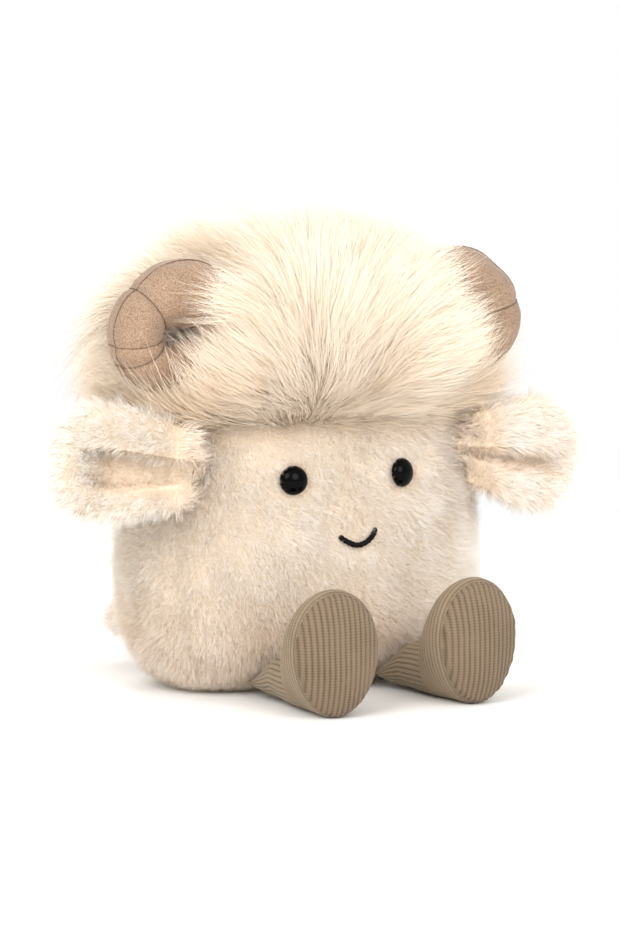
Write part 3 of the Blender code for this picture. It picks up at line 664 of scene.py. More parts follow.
SHORT_CUT = PileCut(
    strands=16.0e6,
    locks=1.3e6,
    width=0.12 * MM,
    steps=1,
    lift=0.88,
    lean=0.08,
    sweep=0.11,
    droop=0.05,
    spread=0.48,
    frizz=0.24,
    gather=0.24,
    fall=0.0,
    soft=1.0,
)
FLUFFY_CUT = PileCut(
    strands=8.2e6,
    locks=0.50e6,
    width=0.14 * MM,
    steps=2,
    lift=0.82,
    lean=0.20,
    sweep=0.26,
    droop=0.12,
    spread=0.42,
    frizz=0.30,
    gather=0.38,
    fall=0.0,
    soft=1.0,
    seed=3,
)
LONG_CUT = PileCut(
    strands=5.6e6,
    locks=0.10e6,
    width=0.17 * MM,
    steps=3,
    lift=0.76,
    lean=0.32,
    sweep=0.50,
    droop=0.22,
    spread=0.36,
    frizz=0.15,
    gather=0.14,
    fall=0.08,
    soft=1.0,
    seed=5,
)


class PileTree:
    """A Geometry Nodes tree that grows ribbon strands on a skin.

    The skin's vertices carry rise (the way off the skin), comb (the way that the pile is brushed), pile (the
    strand's length), cover (the share of strands that grow there) and tint (0 pale to 1 warm).
    """

    LOCK_SEED = 71.0
    WILD_SEED = 11.0
    STRAY_SEED = 23.0
    LOCK_WILD_SEED = 37.0
    TURNED = 0.55
    TAPER = 0.85
    REST_HEIGHT = 0.3 * MM
    STRAND_TILT = 0.09
    LOCK_TILT = 0.08
    TIP_TILT = 0.25
    UPWARD_TILT = (0.0, 0.0, 0.22)
    OWN_SHADE = 0.11
    SIDE_SHADE = 0.02
    SHADE_RANGE = (0.02, 0.96)
    CHART_SPAN = (0.96, 0.02)

    def __init__(self) -> None:
        """Builds the tree with an input for each value of a cut."""
        kinds = PileCut.__annotations__
        numbers = [name.capitalize() for name, kind in kinds.items() if kind is float]
        counts = [name.capitalize() for name, kind in kinds.items() if kind is int]
        self.tree = open_tree("grow_pile", numbers, counts)
        self.given = add_node(self.tree, "NodeGroupInput").outputs
        self._finish(self._grow(self._plant()))

    def _math(self, operation: str, *values: object) -> Socket:
        """Adds a number operation and gives its output."""
        return number(self.tree, operation, *values)

    def _vector(self, operation: str, first: object, second: object) -> Socket:
        """Adds a vector operation and gives its output. A second number scales the first."""
        key = "Scale" if operation == "SCALE" else 1
        inputs = {0: first, key: second}
        return add_node(self.tree, "ShaderNodeVectorMath", inputs, operation=operation).outputs[0]

    def _sum(self, first: Socket, *others: tuple[Socket, object]) -> Socket:
        """Adds to a vector others, each times its share."""
        for other, share in others:
            first = self._vector("ADD", first, self._vector("SCALE", other, share))
        return first

    def _read(self, name: str, kind: str = "FLOAT_VECTOR") -> Socket:
        """Reads an attribute by name and gives its output."""
        return add_node(self.tree, "GeometryNodeInputNamedAttribute", {0: name}, data_type=kind).outputs[0]

    def _keep(
        self,
        geometry: Socket,
        name: str,
        value: Socket,
        kind: str = "FLOAT_VECTOR",
        domain: str = "POINT",
    ) -> Socket:
        """Stores a value by name and gives the geometry that has it."""
        inputs = {"Geometry": geometry, "Name": name, "Value": value}
        made = add_node(
            self.tree, "GeometryNodeStoreNamedAttribute", inputs, data_type=kind, domain=domain
        )
        return made.outputs[0]

    def _random(self, seed: float) -> Socket:
        """A random vector for each point, from -1 to 1 along each axis."""
        mixed = self._math("ADD", self.given["Seed"], seed)
        inputs = {0: (-1.0, -1.0, -1.0), 1: (1.0, 1.0, 1.0), "Seed": mixed}
        return add_node(self.tree, "FunctionNodeRandomValue", inputs, data_type="FLOAT_VECTOR").outputs[0]

    def _scatter(self, density: Socket, seed: Socket) -> Socket:
        """Spreads points over the skin."""
        inputs = {"Mesh": self.given["Geometry"], "Density": density, "Seed": seed}
        return add_node(self.tree, "GeometryNodeDistributePointsOnFaces", inputs).outputs["Points"]

    def _plant(self) -> Socket:
        """Puts a flat ribbon on each root, which knows the lock of strands that it belongs to."""
        tree, given = self.tree, self.given
        place = add_node(tree, "GeometryNodeInputPosition").outputs[0]
        cover = self._read("cover", "FLOAT")
        roots = self._scatter(self._math("MULTIPLY", given["Strands"], cover), given["Seed"])
        locks = self._scatter(given["Locks"], self._math("ADD", given["Seed"], self.LOCK_SEED))
        nearest = add_node(tree, "GeometryNodeSampleNearest", {0: locks}).outputs[0]
        kept = self._keep(roots, "root", place)
        kept = self._keep(kept, "wild", self._random(self.WILD_SEED))
        kept = self._keep(kept, "stray", self._random(self.STRAY_SEED))
        for name, value in (("lock", place), ("lock_wild", self._random(self.LOCK_WILD_SEED))):
            sampled = add_node(
                tree,
                "GeometryNodeSampleIndex",
                {"Geometry": locks, "Value": value, "Index": nearest},
                data_type="FLOAT_VECTOR",
                domain="POINT",
            )
            kept = self._keep(kept, name, sampled.outputs[0])
        size = {"Size X": 1.0, "Size Y": 1.0, "Vertices X": 2}
        size["Vertices Y"] = self._math("ADD", given["Steps"], 1.0)
        ribbon = add_node(tree, "GeometryNodeMeshGrid", size).outputs["Mesh"]
        corner = add_node(tree, "ShaderNodeSeparateXYZ", {0: place}).outputs
        ribbon = self._keep(ribbon, "strand_side", corner[0], "FLOAT")
        ribbon = self._keep(ribbon, "strand_share", self._math("ADD", corner[1], 0.5), "FLOAT")
        strands = add_node(tree, "GeometryNodeInstanceOnPoints", {"Points": kept, "Instance": ribbon})
        return add_node(tree, "GeometryNodeRealizeInstances", {0: strands.outputs[0]}).outputs[0]

    def _grow(self, grown: Socket) -> Socket:
        """Moves each ribbon's points to where the cut and the brush leave them."""
        tree, given = self.tree, self.given
        share, side = self._read("strand_share", "FLOAT"), self._read("strand_side", "FLOAT")
        squared = self._math("MULTIPLY", share, share)
        rise, comb, root, lock = (self._read(name) for name in ("rise", "comb", "root", "lock"))
        lift = self._math("MULTIPLY", share, given["Lift"])
        up = self._math("SUBTRACT", lift, self._math("MULTIPLY", squared, given["Droop"]))
        lean = self._math("MULTIPLY", share, given["Lean"])
        out = self._math("ADD", lean, self._math("MULTIPLY", squared, given["Sweep"]))
        loose = self._math("SUBTRACT", 1.0, self._math("MULTIPLY", given["Gather"], share))
        scatter = self._math("MULTIPLY", self._math("MULTIPLY", share, given["Spread"]), loose)
        bent = self._math("MULTIPLY", squared, given["Frizz"])
        fallen = self._math("MULTIPLY", squared, self._math("MULTIPLY", given["Fall"], -1.0))
        down = add_node(tree, "ShaderNodeCombineXYZ", {2: fallen}).outputs[0]
        shape = self._sum(self._vector("SCALE", rise, up), (comb, out))
        shape = self._sum(shape, (self._read("wild"), scatter), (self._read("lock_wild"), bent))
        shape = self._vector("ADD", shape, down)
        drawn = self._math("MULTIPLY", squared, given["Gather"])
        towards = self._vector("SUBTRACT", lock, root)
        moved = self._sum(root, (shape, self._read("pile", "FLOAT")), (towards, drawn))
        across = self._vector("CROSS_PRODUCT", rise, comb)
        across = self._sum(across, (self._read("stray"), self.TURNED))
        across = self._vector("NORMALIZE", across, (0.0, 0.0, 0.0))
        taper = self._math("SUBTRACT", 1.0, self._math("MULTIPLY", squared, self.TAPER))
        reach = self._math("MULTIPLY", self._math("MULTIPLY", side, given["Width"]), taper)
        moved = self._sum(moved, (across, reach))
        parts = add_node(tree, "ShaderNodeSeparateXYZ", {0: moved}).outputs
        height = self._math("MAXIMUM", parts[2], self.REST_HEIGHT)
        rested = add_node(tree, "ShaderNodeCombineXYZ", {0: parts[0], 1: parts[1], 2: height}).outputs[0]
        inputs = {"Geometry": grown, "Position": rested}
        return add_node(tree, "GeometryNodeSetPosition", inputs).outputs[0]

    def _finish(self, grown: Socket) -> None:
        """Gives the strands their normals, their place in the strand map and their material."""
        tree = self.tree
        share, side = self._read("strand_share", "FLOAT"), self._read("strand_side", "FLOAT")
        facing = self._sum(
            self._vector("SCALE", self._read("rise"), self.given["Soft"]),
            (self._read("wild"), self.STRAND_TILT),
            (self._read("lock_wild"), self.LOCK_TILT),
            (self._read("comb"), self._math("MULTIPLY", share, self.TIP_TILT)),
        )
        facing = self._vector("ADD", facing, self.UPWARD_TILT)
        facing = self._vector("NORMALIZE", facing, (0.0, 0.0, 0.0))
        inputs = {"Mesh": grown, "Custom Normal": facing}
        grown = add_node(tree, "GeometryNodeSetMeshNormal", inputs, mode="FREE", domain="POINT").outputs[0]
        own = add_node(tree, "ShaderNodeSeparateXYZ", {0: self._read("stray")}).outputs[2]
        shade = self._math("MULTIPLY_ADD", own, self.OWN_SHADE, self._read("tint", "FLOAT"))
        low, high = self.SHADE_RANGE
        shade = add_node(tree, "ShaderNodeClamp", {0: shade, 1: low, 2: high}).outputs[0]
        shade = self._math("MULTIPLY_ADD", side, self.SIDE_SHADE, shade)
        along = self._math("MULTIPLY_ADD", share, *self.CHART_SPAN)
        chart = add_node(tree, "ShaderNodeCombineXYZ", {0: shade, 1: along}).outputs[0]
        grown = self._keep(grown, BAKE_MAP, chart, "FLOAT2", "CORNER")
        close_tree(tree, grown, self.given["Material"])

    def grow(self, skin: Object, name: str, cut: PileCut, material: Material) -> Object:
        """Grows one pile.

        Args:
            skin: The mesh that the pile grows on. It is copied.
            name: The pile piece's name.
            cut: How the pile is cut and brushed.
            material: The strands' material.

        Returns:
            The pile as a plain mesh piece.
        """
        values = {field.capitalize(): value for field, value in vars(cut).items()}
        return run_tree(self.tree, skin.data.copy(), name, {**values, "Material": material})


class StitchTree:
    """A Geometry Nodes tree that lays stitches along a line of points."""

    def __init__(self) -> None:
        """Builds the tree with its named inputs."""
        self.tree = open_tree("lay_stitches", ["Pitch", "Length", "Thickness"], [])
        tree = self.tree
        given = add_node(tree, "NodeGroupInput").outputs
        line = add_node(tree, "GeometryNodeMeshToCurve", {0: given["Geometry"]}).outputs[0]
        inputs = {"Curve": line, "Length": given["Pitch"]}
        line = add_node(tree, "GeometryNodeResampleCurve", inputs, mode="LENGTH").outputs[0]
        inputs = {"Segments": 10, "Rings": 8, "Radius": 0.5}
        bead = add_node(tree, "GeometryNodeMeshUVSphere", inputs).outputs["Mesh"]
        way = add_node(tree, "GeometryNodeInputTangent").outputs[0]
        turn = add_node(tree, "FunctionNodeAlignRotationToVector", {"Vector": way}, axis="Z").outputs[0]
        inputs = {0: given["Thickness"], 1: given["Thickness"], 2: given["Length"]}
        size = add_node(tree, "ShaderNodeCombineXYZ", inputs).outputs[0]
        inputs = {"Points": line, "Instance": bead, "Rotation": turn, "Scale": size}
        laid = add_node(tree, "GeometryNodeInstanceOnPoints", inputs).outputs[0]
        laid = add_node(tree, "GeometryNodeRealizeInstances", {0: laid}).outputs[0]
        laid = add_node(tree, "GeometryNodeSetShadeSmooth", {0: laid}).outputs[0]
        close_tree(tree, laid, given["Material"])

    def sew(
        self,
        name: str,
        lines: list[Array],
        pitch: float,
        length: float,
        thickness: float,
        material: Material,
    ) -> Object:
        """Lays stitches along lines.

        Args:
            name: The piece's name.
            lines: Each line's points, in order.
            pitch: Distance from one stitch to the next.
            length: A stitch's length.
            thickness: A stitch's thickness.
            material: The thread's material.

        Returns:
            The stitches as a plain mesh piece.
        """
        data = bpy.data.meshes.new(name + "_line")
        points = np.concatenate(lines)
        edges, start = [], 0
        for line in lines:
            edges += [(start + step, start + step + 1) for step in range(len(line) - 1)]
            start += len(line)
        data.from_pydata([tuple(point) for point in points], edges, [])
        values = {"Pitch": pitch, "Length": length, "Thickness": thickness, "Material": material}
        return run_tree(self.tree, data, name, values)


@dataclass
class Workshop:
    """What every sub-assembly shares: the materials and the two node trees."""

    materials: dict[str, Material]
    pile: PileTree
    stitches: StitchTree


def open_workshop() -> Workshop:
    """Makes every material and tree once."""
    finishes = (BODY_PILE, MANE_PILE, BACKING, FILLING, LINING, SUEDETTE, CORDUROY, SOLE_CORDUROY_PAINTED_SHADE)
    finishes += (BEAD, WASHER, PELLET, MOUTH_THREAD, RIDGE_THREAD)
    materials = {finish.name: finish.material() for finish in finishes}
    return Workshop(materials, PileTree(), StitchTree())


def dress(piece: Object, material: Material) -> None:
    """Gives a piece one material."""
    piece.data.materials.clear()
    piece.data.materials.append(material)


def brushed(
    piece: Object, comb: Array, pile: Array, cover: Array, tint: Array, press: Array | float = 1.0
) -> None:
    """Stores on a skin what its pile needs.

    Args:
        piece: The skin.
        comb: The way that the pile is brushed at each vertex, which is laid onto the skin here.
        pile: Strand length at each vertex.
        cover: Share of strands that grow at each vertex.
        tint: 0 pale to 1 warm at each vertex.
        press: How far the brush lays the pile down, 0 leaving it upright.
    """
    rise = vertex_normals(piece)
    flat = unit(comb - rise * np.sum(comb * rise, axis=1, keepdims=True))
    store(piece, "rise", rise)
    store(piece, "comb", flat * np.broadcast_to(press, len(flat))[:, None])
    store(piece, "pile", pile)
    store(piece, "cover", np.clip(cover, 0.0, 1.0))
    store(piece, "tint", np.clip(tint, 0.0, 1.0))


def read_cover(skin: Object) -> Array:
    """Reads a skin's share of strands at each vertex."""
    cover = np.zeros(len(skin.data.vertices), np.float32)
    skin.data.attributes["cover"].data.foreach_get("value", cover)
    return cover


def keep_cover(skin: Object, cover: Array) -> None:
    """Sets a skin's share of strands at each vertex."""
    skin.data.attributes["cover"].data.foreach_set("value", cover.astype(np.float32))


# Body.


@dataclass
class BodyForm:
    """The CAD body's rounded box, drawn in towards the top and tucked under in front."""

    half_width: float = 0.059
    half_depth: float = 0.038
    half_height: float = 0.062
    middle_height: float = 0.054
    widest_height: float = 0.038
    taper_share: float = 0.105
    plan_power: float = 2.4
    rise_power: float = 3.0
    tuck_height: float = 0.021
    tuck_share: float = 0.36
    left_seam: float = math.radians(38.0)
    right_seam: float = math.radians(31.0)

    def point(self, angle: Array, height: Array, inset: float = 0.0) -> Array:
        """Points of the body.

        Args:
            angle: Plan angles, 0 at +X and a quarter turn at the back.
            height: Heights above the floor.
            inset: Distance below the CAD body's surface.

        Returns:
            One point per row.
        """
        angle, height = np.broadcast_arrays(np.asarray(angle, float), np.asarray(height, float))
        rise = np.abs(height - self.middle_height) / (self.half_height - inset)
        share = 1.0 - self.taper_share * (height - self.widest_height) / self.half_height
        share = share * np.maximum(0.0, 1.0 - rise**self.rise_power) ** (1.0 / self.rise_power)
        across = signed_power(np.cos(angle), 2.0 / self.plan_power)
        along = signed_power(np.sin(angle), 2.0 / self.plan_power)
        tuck = 1.0 - self.tuck_share * np.maximum(0.0, 1.0 - height / self.tuck_height) ** 2
        along = np.where(along < 0.0, along * tuck, along)
        return np.stack(
            [
                (self.half_width - inset) * share * across,
                (self.half_depth - inset) * share * along,
                height,
            ],
            axis=-1,
        )

    def wall(self, angle: float, height: float) -> tuple[Vector, Vector]:
        """A point on the body's wall.

        Args:
            angle: The point's plan angle.
            height: The point's Z.

        Returns:
            The point and its normal.
        """
        nudge, step = math.radians(0.5), 0.3 * MM
        level = self.point(angle + nudge, height) - self.point(angle - nudge, height)
        upward = self.point(angle, height + step) - self.point(angle, height - step)
        return Vector(self.point(angle, height)), Vector(level).cross(Vector(upward)).normalized()

    def front(self, across: float, height: float) -> tuple[Vector, Vector]:
        """A point on the body's front and the way off the body there.

        Args:
            across: The point's X.
            height: The point's Z.

        Returns:
            The point and its normal.
        """
        widest = float(self.point(0.0, height)[0])
        angle = -math.acos(math.copysign(abs(across / widest) ** (self.plan_power / 2.0), across))
        return self.wall(angle, height)


@dataclass
class Face:
    """The bead eyes and the stitched smile, and where the pile makes room for them."""

    form: BodyForm
    eye_diameter: float = 9.0 * MM
    eye_dome: float = 3.1 * MM
    eye_spacing: float = 37.6 * MM
    eye_height: float = 67.0 * MM
    left_eye_turn: float = math.radians(13.0)
    eye_sink: float = 0.9 * MM
    shank_radius: float = 1.5 * MM
    shank_depth: float = 8.0 * MM
    bead_columns: int = 48
    mouth_width: float = 11.6 * MM
    mouth_low: float = 46.2 * MM
    mouth_rise: float = 3.1 * MM
    mouth_tilt: float = 0.7 * MM
    mouth_aside: float = 2.0 * MM
    thread: float = 1.85 * MM
    stitch: float = 2.1 * MM
    stitch_overlap: float = 0.62
    thread_lift: float = 0.26
    end_tuck: float = 0.5

    def eyes(self) -> list[tuple[Vector, Vector]]:
        """Where each eye is, left first, and which way it looks."""
        return [
            self.form.front(side.value * self.eye_spacing / 2, self.eye_height) for side in Side
        ]

    def smile(self, count: int = 41) -> Array:
        """Points along the mouth's line, on the body's surface."""
        points = []
        for share in np.linspace(-1.0, 1.0, count):
            height = self.mouth_low + self.mouth_rise * share**2 + self.mouth_tilt * share
            place, normal = self.form.front(self.mouth_aside + share * self.mouth_width / 2, height)
            points.append(place + normal * (self.thread_lift - self.end_tuck * share**8) * self.thread)
        line = np.array(points)
        line[:, 2] += 0.22 * MM * soft_noise(line, 2.2 * MM, 6.0)
        return line

    def build(self, shop: Workshop) -> None:
        """Makes the beads and the smile."""
        for side, (place, normal) in zip(Side, self.eyes()):
            turn = side.pick(self.left_eye_turn, 0.0)
            look = Matrix.Rotation(turn, 3, "Z") @ normal
            bead = self.bead("eye_bead_" + side.word, place - normal * self.eye_sink, look)
            dress(bead, shop.materials[BEAD.name])
            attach(bead, "body")
            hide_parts("eye_" + side.word)
        smile = shop.stitches.sew(
            "mouth_stitches",
            [self.smile()],
            self.stitch_overlap * self.stitch,
            self.stitch,
            self.thread,
            shop.materials[MOUTH_THREAD.name],
        )
        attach(smile, "body")
        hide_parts("mouth_thread")
        LOG.info("face: two beads and a stitched smile")

    def bead(self, name: str, place: Vector, normal: Vector) -> Object:
        """Turns one bead with its shank.

        Args:
            name: The piece's name.
            place: The middle of the bead's back.
            normal: The way that it looks.

        Returns:
            The bead.
        """
        radius = self.eye_diameter / 2
        turns = np.linspace(0.0, math.pi / 2, 14)
        profile = [(radius * math.sin(turn), self.eye_dome * math.cos(turn)) for turn in turns]
        profile += [(0.94 * radius, -0.35 * MM), (self.shank_radius, -0.45 * MM)]
        profile.append((self.shank_radius, -self.shank_depth))
        turn = normal.to_track_quat("Z", "Y").to_matrix().to_4x4()
        frame = Matrix.Translation(place) @ turn
        points = []
        for reach, height in profile[1:]:
            for column in range(self.bead_columns):
                angle = math.tau * column / self.bead_columns
                points.append(frame @ Vector((reach * math.cos(angle), reach * math.sin(angle), height)))
        ends = [frame @ Vector((0.0, 0.0, height)) for height in (self.eye_dome, -self.shank_depth)]
        return closed_tube(name, np.array(points), self.bead_columns, np.array(ends))


@dataclass
class Body:
    """The stuffed body: a knitted backing with short plush pile all over it.

    A pair named for a fringe, a ring or a shade is the middle and the width of a hump. Any other pair is
    where a change starts and where it ends.
    """

    form: BodyForm
    face: Face
    inset: float = 1.3 * MM
    columns: int = 168
    rows: int = 84
    under_rows: int = 10
    floor: float = 1.2 * MM
    top: float = 112.0 * MM
    pile_length: float = 2.8 * MM
    lump: float = 0.8 * MM
    bump: float = 0.35 * MM
    seam_groove: float = 0.5 * MM
    seam_width: float = 2.2 * MM
    dimple: float = 0.9 * MM
    dimple_width: float = 6.5 * MM
    tail_height: float = 21.0 * MM
    rear_cover: float = 0.44
    rear_depth: float = 26.0 * MM
    under_cover: float = 0.3
    swirls: tuple[float, float, float] = (0.9, 0.5, 0.25)
    unevenness: float = 0.28
    eye_clear: tuple[float, float] = (2.8 * MM, 4.0 * MM)
    eye_short: tuple[float, float] = (4.0 * MM, 8.0 * MM)
    # Painted shade: a warmer ring round each eye, where the eye's dimple lies in shade.
    eye_ring: tuple[float, float] = (5.2 * MM, 1.3 * MM)
    ear_fringe: tuple[float, float] = (9.0 * MM, 6.0 * MM)
    # Painted shade: warmer pile round each ear's root, where the ear shades the body.
    ear_shade: tuple[float, float] = (8.0 * MM, 9.0 * MM)
    tail_fringe: tuple[float, float] = (8.0 * MM, 5.0 * MM)
    mouth_clear: tuple[float, float] = (0.4 * MM, 1.6 * MM)
    mouth_short: tuple[float, float] = (1.5 * MM, 4.5 * MM)
    base_short: tuple[float, float] = (2.0 * MM, 9.0 * MM)
    mane_edge: tuple[float, float] = (86.0 * MM, 90.0 * MM)
    # Painted shade: a warm band under the mane's edge.
    hair_shade: tuple[float, float] = (82.0 * MM, 4.5 * MM)
    # Painted shade between the legs.
    leg_shade: tuple[float, float] = (0.0, 32.0 * MM)

    def build(self, shop: Workshop) -> None:
        """Makes the backing and its pile."""
        skin = self.skin()
        dress(skin, shop.materials[BACKING.name])
        self.brush(skin)
        places = vertex_places(skin)
        angles = np.arctan2(places[:, 1] / self.form.half_depth, places[:, 0] / self.form.half_width)
        front = (angles < -self.form.left_seam * 0.8) & (angles > -math.pi + self.form.right_seam * 0.8)
        under = places[:, 2] < self.floor + 0.2 * MM
        left = places[:, 0] >= 0.0
        regions = {
            "body_pile_front_left": front & ~under & left,
            "body_pile_front_right": front & ~under & ~left,
            "body_pile_back_left": ~front & ~under & left,
            "body_pile_back_right": ~front & ~under & ~left,
            "body_pile_under": under,
        }
        cover = read_cover(skin)
        for name, region in regions.items():
            keep_cover(skin, np.where(region, cover, 0.0))
            pile = shop.pile.grow(skin, name, SHORT_CUT, shop.materials[BODY_PILE.name])
            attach(pile, "body")
            LOG.info("%s: %d faces", name, len(pile.data.polygons))
        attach(skin, "body")
        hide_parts("face_panel", "back_panel_left", "back_panel_right", "base_panel")

    def skin(self) -> Object:
        """The body's backing, from the middle of its flat base to under the mane."""
        turn = whole_turn(self.columns)
        low = self.form.point(turn, self.floor, self.inset)
        rows = []
        for share in np.linspace(0.0, 1.0, self.under_rows + 1)[1:-1]:
            rows.append(low * np.array([share, share, 1.0]))
        for share in np.linspace(0.0, 1.0, self.rows):
            height = self.floor + (self.top - self.floor) * (0.35 * share**2 + 0.65 * share)
            rows.append(self.form.point(turn, height, self.inset))
        ends = np.array([[0.0, 0.0, self.floor], [0.0, 0.0, self.top]])
        return closed_tube("body_backing", self.soften(np.concatenate(rows)), self.columns, ends)

    def soften(self, points: Array) -> Array:
        """Adds the unevenness of stuffing, the creases of the seams and the dents of the eyes."""
        centre = np.array([0.0, 0.0, self.form.widest_height])
        away = unit((points - centre) * np.array([1.0, 1.4, 0.9]))
        wall = smooth_step(2.0 * MM, 14.0 * MM, points[:, 2])
        lumps = self.lump * soft_noise(points, 19.0 * MM) + self.bump * soft_noise(points, 8.0 * MM, 9.0)
        points += away * (lumps * wall)[:, None]
        for angle in (-self.form.left_seam, -math.pi + self.form.right_seam, math.pi / 2):
            line = self.form.point(np.full(len(points), angle), points[:, 2], self.inset)
            gap = np.linalg.norm((points - line)[:, :2], axis=1)
            groove = self.seam_groove * hump(gap, 0.0, self.seam_width)
            points -= away * (groove * wall)[:, None]
        for place, normal in self.face.eyes():
            gap = np.linalg.norm(points - np.array(place), axis=1)
            points -= np.array(normal) * (self.dimple * hump(gap, 0.0, self.dimple_width))[:, None]
        return points

    def brush(self, skin: Object) -> None:
        """Stores the pile's direction, length, cover and shade."""
        points = vertex_places(skin)
        normals = vertex_normals(skin)
        down = np.tile(DOWN, (len(points), 1))
        level = unit(np.cross(normals, down))
        broad, fine, lean = self.swirls
        swirl = broad * soft_noise(points, 21.0 * MM, 3.0) + fine * soft_noise(points, 8.0 * MM, 5.0) + lean
        comb = down * np.cos(swirl)[:, None] + level * np.sin(swirl)[:, None]
        under = points[:, 2] < self.floor + 0.2 * MM
        comb[under] = points[under] * np.array([1.0, 1.0, 0.0]) + np.array([0.0, 1e-4, 0.0])
        pile = self.pile_length * (1.0 + self.unevenness * soft_noise(points, 9.0 * MM, 7.0))
        cover = np.ones(len(points))
        ring = np.zeros(len(points))
        root = np.zeros(len(points))
        for place, _ in self.face.eyes():
            gap = np.linalg.norm(points - np.array(place), axis=1)
            pile *= 0.62 + 0.38 * smooth_step(*self.eye_short, gap)
            cover *= smooth_step(*self.eye_clear, gap)
            # Painted shade: a warm ring round the eye.
            ring += hump(gap, *self.eye_ring)
        for side in Side:
            pivot = np.array(Ear(self.form, side).frame()[0])
            gap = np.linalg.norm((points - pivot) * np.array([1.0, 1.0, 0.8]), axis=1)
            pile *= 1.0 + 0.9 * hump(gap, *self.ear_fringe)
            # Painted shade round the ear's root.
            root += hump(gap, *self.ear_shade)
        seat = self.form.point(math.pi / 2, self.tail_height)
        gap = np.linalg.norm(points - seat, axis=1)
        pile *= 1.0 + 1.2 * hump(gap, *self.tail_fringe)
        smile = self.face.smile()
        gap = np.min(np.linalg.norm(points[:, None, :] - smile[None, :, :], axis=2), axis=1)
        pile *= 0.60 + 0.40 * smooth_step(*self.mouth_short, gap)
        cover *= smooth_step(*self.mouth_clear, gap)
        pile *= 0.45 + 0.55 * smooth_step(*self.base_short, points[:, 2])
        under_mane = smooth_step(*self.mane_edge, points[:, 2])
        beside_horn = smooth_step(20.0 * MM, 26.0 * MM, np.abs(points[:, 0])) * (points[:, 1] < 6.0 * MM)
        cover *= 1.0 - under_mane * (1.0 - 0.7 * beside_horn)
        rear = smooth_step(0.0, self.rear_depth, points[:, 1])
        cover *= np.where(under, self.under_cover, 1.0 - (1.0 - self.rear_cover) * rear)
        tint = 0.20 + 0.16 * soft_noise(points, 15.0 * MM, 2.0) + 0.17 * soft_noise(points, 2.6 * MM, 4.0)
        # Painted shade: darker and warmer towards the floor, and a warm ring round each eye.
        tint += 0.36 * (1.0 - smooth_step(6.0 * MM, 44.0 * MM, points[:, 2])) + 0.4 * ring
        # Painted shade round the ears' roots.
        tint += 0.4 * root
        # Painted shade: warmer low on the front between the legs.
        painted_shade_between_legs = hump(points[:, 0], *self.leg_shade) * (points[:, 1] < 0.0)
        tint += 0.44 * painted_shade_between_legs * (1.0 - smooth_step(12.0 * MM, 50.0 * MM, points[:, 2]))
        # Painted light: paler on the front of the toy's left side.
        tint -= 0.16 * smooth_step(14.0 * MM, 44.0 * MM, points[:, 0]) * (points[:, 1] < 0.0)
        # Painted shade: a warm band under the mane's edge.
        tint += 0.35 * hump(points[:, 2], *self.hair_shade)
        brushed(skin, comb, pile, cover, tint)


# Mane.


@dataclass
class HornForm:
    """The CAD horns' sizes: a tube that curls in an upright plane, up, outwards, down and in again."""

    out: float = 49.0 * MM
    forward: float = 16.0 * MM
    height: float = 114.0 * MM
    curl_radius: float = 13.3 * MM
    tube_radius: float = 8.7 * MM
    tip_back: float = 3.0 * MM
    start: float = math.radians(236.0)
    sweep: float = math.radians(386.0)
    tip_turn: float = math.radians(22.0)
    left_turn: float = math.radians(-30.0)
    curl_shares: tuple[float, ...] = (
        (2.05, 1.60, 1.25, 0.90, 0.77, 0.72, 0.75) + (0.92, 1.05, 1.07, 0.94, 0.68, 0.44)
    )
    tube_shares: tuple[float, ...] = (
        (1.07, 1.10, 1.15, 1.21, 1.23, 1.17, 1.03) + (0.99, 0.98, 0.91, 0.83, 0.68, 0.48)
    )

    def centre(self, share: Array, side: float) -> Array:
        """Points of the tube's middle line at shares of its sweep."""
        share = np.asarray(share, float)
        angle = self.start - self.sweep * share
        radius = self.curl_radius * curve_through(self.curl_shares, share)
        return np.stack(
            [
                side * (self.out + radius * np.cos(angle)),
                self.tip_back * share**3 - self.forward,
                self.height + radius * np.sin(angle),
            ],
            axis=-1,
        )


